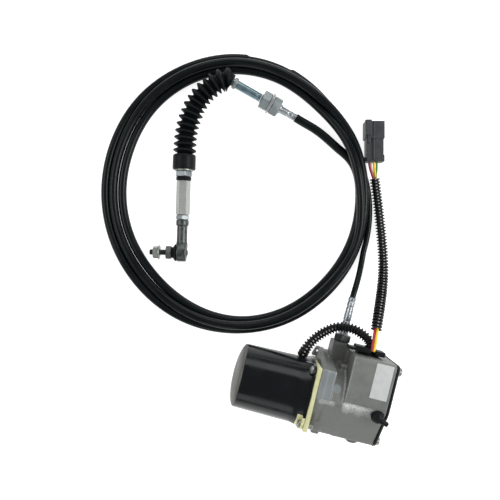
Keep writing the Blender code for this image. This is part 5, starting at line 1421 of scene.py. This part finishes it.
@dataclass
class Bellows:
    """The rubber bellows between the support tube and the rod, and the core wire inside it."""

    folds: int = 15
    peak: float = 11.4
    valley: float = 6.9
    wall: float = 1.1
    cuff: float = 15.7
    joint: str = "rod_slide"

    def line(self) -> Array:
        """Gives the bellows' centre line, from its mouth on the tube to the top of its cuff."""
        hub = Hub()
        a = table(*hub.start)
        ahead = unit(table(*hub.end) - a)
        bend = [(-26.1, 164.4, 19.4), (-31.9, 162.0, 19.4), (-37.5, 158.2, 18.6), (-42.7, 154.0, 17.8),
                (-47.2, 149.4, 16.8),
                (-50.9, 144.4, 15.8), (-54.6, 138.4, 14.8), (-57.2, 132.2, 14.0), (-59.6, 126.0, 13.3),
                (-61.4, 119.6, 12.7),
                (-62.6, 113.0, 12.2), (-63.4, 106.6, 11.8), (-63.8, 100.3, 11.6)]
        return smooth_line([a + 73.2 * ahead, a + 76.2 * ahead, *[table(*p) for p in bend], end_point(0.0)],
                           0.55)

    def build(self) -> list[Piece]:
        """Makes the bellows, its reach a rounded wave and then the smooth cuff, and the wire in it."""
        line = self.line()
        far = line_distances(line)
        lip = 2.2
        phase = np.clip((far - lip) / (far[-1] - lip), 0.0, 1.0) * self.folds
        wave = (0.5 - 0.5 * np.cos(2 * math.pi * phase)) ** 0.75
        reach = np.where(far < lip, self.valley, self.valley + (self.peak - self.valley) * wave)
        end = end_point(0.0)
        run = unit(end_point(10.0) - end)
        cuff_far = np.array([0.5, 1.0, 1.8, 3.0, 8.0, 13.0, self.cuff - 1.2, self.cuff - 0.5, self.cuff - 0.1,
                             self.cuff])
        cuff_reach = np.array([8.4, 10.2, 11.0, 11.2, 11.2, 11.25, 11.3, 11.15, 10.8, 10.2])
        cuff_hollow = np.array([7.0, 8.4, 9.3, 9.5, 9.6, 9.6, 9.6, 9.6, 9.6, 9.6])
        line = np.concatenate([line, end + cuff_far[:, None] * run])
        hollow = np.concatenate([reach - self.wall, cuff_hollow])
        reach = np.concatenate([reach, cuff_reach])
        outside, within = (rings_round(line, np.repeat(size[:, None], 56, axis=1))
                           for size in (reach, hollow))
        distance = np.concatenate([line_distances(line), line_distances(line)[::-2]])
        skin = Skin().grid(np.concatenate([outside, within[::-2]]), True, along=distance * MM, flip=True)
        made = place(skin, "bellows_folds", [Finishes.RUBBER], Body.ACTUATOR, ["bellows"], "rubber_black",
                     70.0)
        mouth = line[0] + 0.6 * unit(line[1] - line[0])
        wire = tube(smooth_line([mouth, *line[20:-26:24], end_point(-4.5)], 1.6), 1.2, 12)
        core = place(wire, "core_wire_bend", [Finishes.STEEL], Body.ACTUATOR, ["core_wire_end"], "steel")
        for piece in (made, core):
            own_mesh(piece)
        return [made, core]


@dataclass
class RodSide:
    """What slides with the rod, and the ball stud that swings in its end."""

    ball_r: float = 6.4

    def axis(self) -> Axis:
        """Gives the rod's axis, from the cuff towards the ball."""
        a, b = end_point(0.0), end_point(10.0)
        return Axis(tuple(a), tuple(b - a))

    def stud_axis(self) -> Axis:
        """Gives the stud's axis, from the ball towards its nut."""
        return Axis(tuple(end_point(BALL_DOWN)), tuple(table_direction(END_RUN[1], -END_RUN[0])))

    def rod_end(self) -> Skin:
        """Builds the rod end: a field of the collar, the neck and the ring, less the ball's socket."""
        s = Lattice((62.0, -7.5, -9.6), (108.0, 7.5, 9.6), 0.42)
        s.add(s.rod("x", (0.0, 0.0), 6.2, 65.1, 70.6, 0.8), 0.4)
        s.add(s.rod("x", (0.0, 0.0), 5.1, 70.0, 92.0, 0.6), 0.8)
        s.add(s.rod("y", (BALL_DOWN, 0.0), 8.7, -4.7, 4.7, 1.6), 3.0)
        s.cut(np.sqrt((s.x - BALL_DOWN) ** 2 + s.y ** 2 + s.z ** 2) - (self.ball_r + 0.3), 0.3)
        s.cut(s.rod("y", (BALL_DOWN, 0.0), 5.5, 2.0, 6.0), 0.3)
        points, quads = s.skin()
        ahead, _, _ = self.axis().across()
        side = unit(vector(*self.stud_axis().along))
        axes = np.stack([ahead, side, np.cross(ahead, side)])
        return Skin().raw(vector(*self.axis().at) + points @ axes, quads)

    def build(self) -> list[Piece]:
        """Makes the sliding pieces and the stud, and gives them."""
        axis, stud = self.axis(), self.stud_axis()
        profile = [(2.0, 0.0), (2.0, 2.7), (14.9, 2.7), (14.9, 9.0), (17.1, 9.0), (17.1, 2.7), (38.0, 2.7),
                   (38.0, 0.0)]
        rod = lathe(Skin(), axis, profile, 48, 0.3)
        threaded(rod, axis, 17.0, 28.0, 3.0, 1.0)
        made = [dressed(rod, "end_rod", Finishes.ZINC, Body.ROD, "zinc")]
        for name, low, high, flats, turn in (("jam_nut_upper", 17.4, 22.6, 15.0, 0.2),
                                             ("jam_nut_lower", 60.4, 64.8, 11.8, 0.0)):
            made.append(dressed(hex_nut(Skin(), axis, low, high, flats, 3.3, turn), name, Finishes.NUT,
                                Body.ROD, "zinc"))
        profile = [(23.0, 3.3), (23.0, 7.2), (23.6, 7.5), (24.3, 7.5), (24.6, 7.1), (24.9, 7.5), (25.6, 7.5),
                   (26.2, 7.2), (26.2, 3.3)]
        wiper = lathe(Skin(), axis, profile, 56, 0.2, ring=True)
        made.append(dressed(wiper, "wiper_ring", Finishes.RUBBER, Body.ROD, "rubber_black"))
        coupler = hex_nut(Skin(), axis, 26.5, 60.0, 12.0, 3.3, math.pi / 6)
        made.append(dressed(coupler, "hex_coupler", Finishes.COUPLER, Body.ROD, "coupler_grey"))
        end = self.rod_end()
        threaded(end, axis, 45.0, 66.0, 3.0, 1.0)
        made.append(dressed(end, "rod_end", Finishes.ROD_END, Body.ROD, "dark_zinc", 50.0))
        turn = np.radians(np.linspace(178.0, 28.0, 24))
        profile = np.stack([self.ball_r * np.cos(turn), self.ball_r * np.sin(turn)], axis=1).tolist()
        ball = lathe(Skin(), stud, [*profile, (5.9, 2.8), (9.9, 2.8), (10.4, 2.9)], 48, 0.05)
        hex_nut(ball, stud, 9.9, 15.2, 12.4, 2.4, 0.0)
        threaded(ball, stud, 15.0, 31.2, 2.9, 1.0)
        made.append(dressed(ball, "ball_stud", Finishes.ROD_END, Body.STUD, "dark_zinc"))
        nut = hex_nut(Skin(), stud, 21.4, 27.8, 10.8, 3.2, 0.3, washer=7.0)
        made.append(dressed(nut, "flange_nut", Finishes.ZINC, Body.STUD, "zinc"))
        return [*made, self.boot(stud)]

    def boot(self, stud: Axis) -> Piece:
        """Makes the rubber boot between the rod end and the stud."""
        profile = [(5.1, 6.6), (5.1, 8.3), (5.9, 8.5), (6.6, 7.9), (7.3, 6.9), (7.7, 6.3), (8.4, 5.5),
                   (9.6, 5.3), (9.6, 3.1),
                   (7.6, 3.1), (6.6, 5.6), (6.0, 6.4)]
        piece = lathe(Skin(), stud, profile, 48, 0.25, ring=True).mesh("ball_boot_dressed")
        piece.data.materials.append(Finishes.RUBBER.make())
        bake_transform(piece)
        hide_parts("ball_boot")
        return piece


@dataclass
class Looms:
    """The two corrugated looms, the wires through the long one, and what they come out of and end in.

    Slit is the angle of the looms' slit, and loom_ends are the places where the long one starts and stops.
    """

    slit: float = 1.5 * math.pi
    loom_ends: tuple[Point, Point] = ((10.7, 65.4, 42.5), (-18.3, 207.1, 6.2))

    def corrugated(self, depth: float) -> Callable[[Array, Array], Array]:
        """Gives the loom's wave: flat-topped ridges, with a shallow groove at the slit's angle."""
        def wave(far: Array, angle: Array) -> Array:
            """Gives how the reach changes at a distance and an angle."""
            ridge = ramp(np.abs((far / LOOM_PITCH) % 1.0 - 0.5) * 2, 0.25, 0.8)
            off = np.abs((angle - self.slit + math.pi) % (2 * math.pi) - math.pi)
            return -depth * (1 - ridge) - 0.5 * (1 - ramp(off, 0.1, 0.24))
        return wave

    def motor_loom(self) -> tuple[Piece, Array]:
        """Makes the short loom from the motor's flange to the grommet, and gives it with its line."""
        route = [(-48.8, 24.2, 31.0), (-47.8, 29.2, 33.4), (-44.6, 37.4, 34.8), (-38.8, 46.0, 35.4),
                 (-31.9, 52.9, 36.0),
                 (-24.6, 57.6, 36.5), (-15.9, 59.8, 37.0), (-6.6, 59.5, 38.0), (1.2, 56.9, 39.0),
                 (7.2, 53.0, 39.7), (10.2, 47.2, 40.0)]
        line = smooth_line(route, 0.38)
        skin = tube(line, 5.0, 36, self.corrugated(1.7))
        made = place(skin, "motor_loom_ridges", [Finishes.MOTOR_LOOM], Body.ACTUATOR, ["motor_loom"],
                     "satin_black", 50.0)
        return made, line

    def harness_route(self) -> list[Array]:
        """Gives the places that the harness passes, from the grommet to the connector."""
        first, last = self.loom_ends
        route = [(11.6, 45.0, 46.6), (11.1, 54.8, 45.5), first, (11.0, 80.4, 35.0), (11.8, 98.5, 23.0),
                 (10.9, 117.0, 14.0),
                 (7.2, 135.6, 9.0), (1.7, 153.9, 6.4), (-4.8, 172.2, 5.9), (-11.6, 190.1, 5.9), last]
        return [*[vector(*p) for p in route], table(121.6, 88.2, 6.8)]

    def harness_loom(self) -> tuple[Piece, Array]:
        """Makes the long loom, hollow for its wires, and gives it with its line."""
        whole = smooth_line(self.harness_route(), 0.4)
        start, end = (int(np.argmin(np.linalg.norm(whole - vector(*p), axis=1))) for p in self.loom_ends)
        line = whole[start:end]
        skin = tube(line, 5.2, 36, self.corrugated(1.8), 2.8)
        made = place(skin, "harness_loom_ridges", [Finishes.LOOM], Body.ACTUATOR, ["harness_loom"],
                     "satin_black", 50.0)
        return made, line

    def wires(self) -> list[Piece]:
        """Makes the four wires: the harness's line, moved aside and up by amounts that change along it.

        A wire's row holds its place aside and up at the grommet, in the loom and at the connector.
        """
        line = smooth_line(self.harness_route(), 1.6)
        _, side, up = line_axes(line)
        far = line_distances(line)
        knots = [0.0, 0.1, 0.14, 0.9, 0.955, 1.0]
        rows = (("wire_crimson", Finishes.CRIMSON, 1.05, (-1.5, -1.25, -4.3), (0.5, 0.3, 0.0)),
                ("wire_white", Finishes.WHITE, 0.95, (-0.3, 0.1, -2.2), (-1.3, -1.25, -0.8)),
                ("wire_yellow", Finishes.YELLOW, 1.25, (1.0, 1.15, 0.6), (0.9, 0.7, 0.7)),
                ("wire_green", Finishes.GREEN, 1.05, (1.7, 0.3, 3.6), (-1.0, 1.2, 0.0)))
        made = []
        for name, finish, radius, aside, above in rows:
            across, rise = (np.interp(far / far[-1], knots, [a, a, c, c, 0.8 * e, e])
                            for a, c, e in (aside, above))
            moved = smooth_line((line + across[:, None] * side + rise[:, None] * up)[::4], 1.4)
            nodes, slot = ([], "") if made else (["harness_wires"], "wire_red")
            made.append(place(tube(moved, radius, 12), name, [finish], Body.ACTUATOR, nodes, slot))
        return made

    def grommet(self) -> None:
        """Makes the grommet: a flange with cut corners, a raised collar in two halves and its plug."""
        s = Lattice((-11.0, 33.0, 28.0), (26.0, 49.5, 52.5), 0.45)
        flange = [(30.6, -3.0), (30.6, 19.0), (36.0, 24.0), (45.0, 24.0), (50.0, 19.0), (50.0, -5.0),
                  (46.0, -11.4), (37.0, -11.4)]
        s.add(s.prism("y", flange, 40.3, 43.4, 0.5), 0.2)
        s.add(s.box((-11.6, 42.6, 36.0), (-3.6, 45.2, 49.2), 0.9), 0.5)
        s.add(s.box((-4.6, 42.0, 33.5), (9.0, 47.4, 50.2), 1.0), 0.6)
        s.add(s.box((13.4, 42.0, 33.5), (23.2, 46.6, 49.8), 1.0), 0.6)
        s.add(s.rod("y", (10.2, 40.0), 6.2, 42.0, 47.0, 1.0), 0.8)
        s.add(s.box((-1.7, 35.0, 33.3), (18.7, 41.5, 46.7), 0.8), 0.5)
        place(Skin().raw(*s.skin()), "grommet_body", [Finishes.RUBBER], Body.ACTUATOR, ["grommet"],
              "rubber_black", 60.0)

    def vent(self) -> None:
        """Makes the vent elbow: a round foot turned on the slope's normal and the nipple across it."""
        slope = unit(vector(0.0, -4.3, 7.7))
        seat = vector(25.2, -7.2, 63.6) + 0.3 * slope
        foot = [(0.2, 0.0), (0.2, 6.0), (3.0, 6.0), (4.4, 5.2), (7.0, 3.4), (7.6, 2.0), (7.6, 0.0)]
        nipple = [(0.0, 0.0), (0.0, 3.1), (7.0, 2.4), (8.6, 2.2), (9.4, 2.3), (10.4, 1.7), (10.4, 0.0)]
        skin = lathe(Skin(), Axis(tuple(seat), tuple(slope)), foot, 48, 0.7)
        lathe(skin, Axis(tuple(seat + 4.4 * slope), (0.93, -0.30, 0.08)), nipple, 36, 0.5)
        dressed(skin, "vent_elbow", Finishes.RUBBER, Body.ACTUATOR, "rubber_black", 50.0)

    def connector(self) -> Piece:
        """Makes the connector: a field of its blocks, ridge and latch, less its four openings."""
        s = Lattice((110.5, 84.0, -0.8), (134.0, 129.0, 19.0), 0.36)
        blocks = (((114.1, 90.0, 0.3), (130.8, 112.0, 13.4), 0.3, 0.1),
                  ((112.6, 109.0, 0.3), (131.6, 126.2, 14.6), 0.3, 0.15),
                  ((114.0, 86.6, 0.3), (130.6, 93.2, 13.6), 0.3, 0.15),
                  ((128.6, 86.6, 0.3), (131.6, 93.0, 14.0), 0.3, 0.15),
                  ((111.4, 86.6, 1.0), (114.6, 91.0, 11.0), 0.3, 0.15),
                  ((120.2, 88.0, 12.0), (121.6, 125.6, 15.2), 0.3, 0.15),
                  ((112.4, 112.0, 12.0), (118.6, 127.0, 17.2), 0.4, 0.15),
                  ((114.6, 104.6, 12.6), (117.4, 113.0, 15.4), 0.3, 0.15))
        for low, high, soft, width in blocks:
            s.add(s.box(low, high, soft), width)
        s.cut(s.box((121.9, 91.0, 13.8), (130.0, 106.4, 20.0), 0.2), 0.1)
        for x in (115.4, 119.2, 123.0, 126.8):
            s.cut(s.box((x, 119.0, 3.4), (x + 2.6, 130.0, 10.8), 0.3), 0.2)
        points, quads = s.skin()
        skin = Skin().raw(table(*points.T).T, quads)
        return place(skin, "connector_body", [Finishes.CONNECTOR], Body.ACTUATOR, ["connector"],
                     "connector_grey", 60.0)


@dataclass
class Studio:
    """The camera at the photograph's angle, the pale floor and the soft lights."""

    height: float = 0.6
    lens: float = 43.2
    floor_size: float = 4.0
    floor_shade: float = 0.62
    floor_glow: float = 0.84
    air: float = 0.29

    def camera(self) -> None:
        """Puts the camera over the table, looking straight down and turned with it."""
        data = bpy.data.cameras.new("camera")
        data.sensor_width = 36.0
        data.lens = self.lens
        data.clip_end = 20.0
        made = bpy.data.objects.new("camera", data)
        made.location = (PICTURE_CENTRE[0] * MM, PICTURE_CENTRE[1] * MM, self.height)
        made.rotation_euler = (0.0, 0.0, TURN)
        bpy.context.scene.collection.objects.link(made)
        bpy.context.scene.camera = made

    def floor(self) -> None:
        """Makes the pale floor as one flat grid under the part."""
        made = bpy.data.meshes.new("floor")
        corners = [(x * self.floor_size, y * self.floor_size, 0)
                   for x, y in ((-1, -1), (1, -1), (1, 1), (-1, 1))]
        made.from_pydata(corners, [], [(0, 1, 2, 3)])
        obj = bpy.data.objects.new("floor", made)
        material = bpy.data.materials.new("pale_floor")
        material.use_nodes = True
        shader = material.node_tree.nodes["Principled BSDF"]
        values = {"Base Color": (*[self.floor_shade] * 3, 1.0), "Roughness": 0.9, "Specular IOR Level": 0.1,
                  "Emission Color": (1.0, 1.0, 1.0, 1.0), "Emission Strength": self.floor_glow}
        for name, value in values.items():
            shader.inputs[name].default_value = value
        made.materials.append(material)
        bpy.context.scene.collection.objects.link(obj)

    def light(self, name: str, at: Point, towards: Point, size: tuple[float, float], power: float) -> None:
        """Adds a soft rectangular light."""
        data = bpy.data.lights.new(name, "AREA")
        data.shape = "RECTANGLE"
        data.size, data.size_y = size
        data.energy = power
        made = bpy.data.objects.new(name, data)
        ahead = unit(vector(*towards) - vector(*at))
        side = unit(np.cross(ahead, vector(0.0, 0.0, 1.0)))
        up = np.cross(side, ahead)
        turned = Matrix(np.stack([side, up, -ahead], axis=1).tolist()).to_4x4()
        made.matrix_world = Matrix.Translation(at) @ turned
        bpy.context.scene.collection.objects.link(made)

    def build(self) -> None:
        """Makes the camera, the floor, the lights and the world."""
        self.camera()
        self.floor()
        middle = (-0.12, 0.11, 0.0)
        lights = (("left_soft", (-1.5, -0.1, 1.25), (1.3, 1.0), 12.5),
                  ("right_soft", (1.3, 0.45, 1.3), (1.2, 1.0), 28.0),
                  ("far_soft", (-0.3, 1.7, 0.9), (1.6, 0.8), 11.0),
                  ("near_soft", (0.3, -1.7, 0.8), (1.8, 0.8), 7.0))
        for name, at, size, power in lights:
            self.light(name, at, middle, size, power)
        world = bpy.data.worlds.new("studio_air")
        world.use_nodes = True
        background = world.node_tree.nodes["Background"].inputs
        background["Color"].default_value = (1.0, 1.0, 1.0, 1.0)
        background["Strength"].default_value = self.air
        bpy.context.scene.world = world
        bpy.context.scene.view_settings.view_transform = "Standard"


def main() -> None:
    logging.basicConfig(level=logging.INFO, format="%(message)s")
    Studio().build()
    cable, line = ControlCable().build()
    looms = Looms()
    motor_loom, motor_line = looms.motor_loom()
    harness, harness_line = looms.harness_loom()
    wires = looms.wires()
    plug = looms.connector()
    looms.grommet()
    looms.vent()
    dress_nodes()
    housing = GearHousing()
    housing.build()
    housing.cover()
    housing.screws()
    MotorUnit().build()
    CableEntry().build()
    far_end = Hub().build()
    far_end += Bellows().build()
    far_end += RodSide().build()


if __name__ == "__main__":
    main()
    bpy.context.view_layer.update()
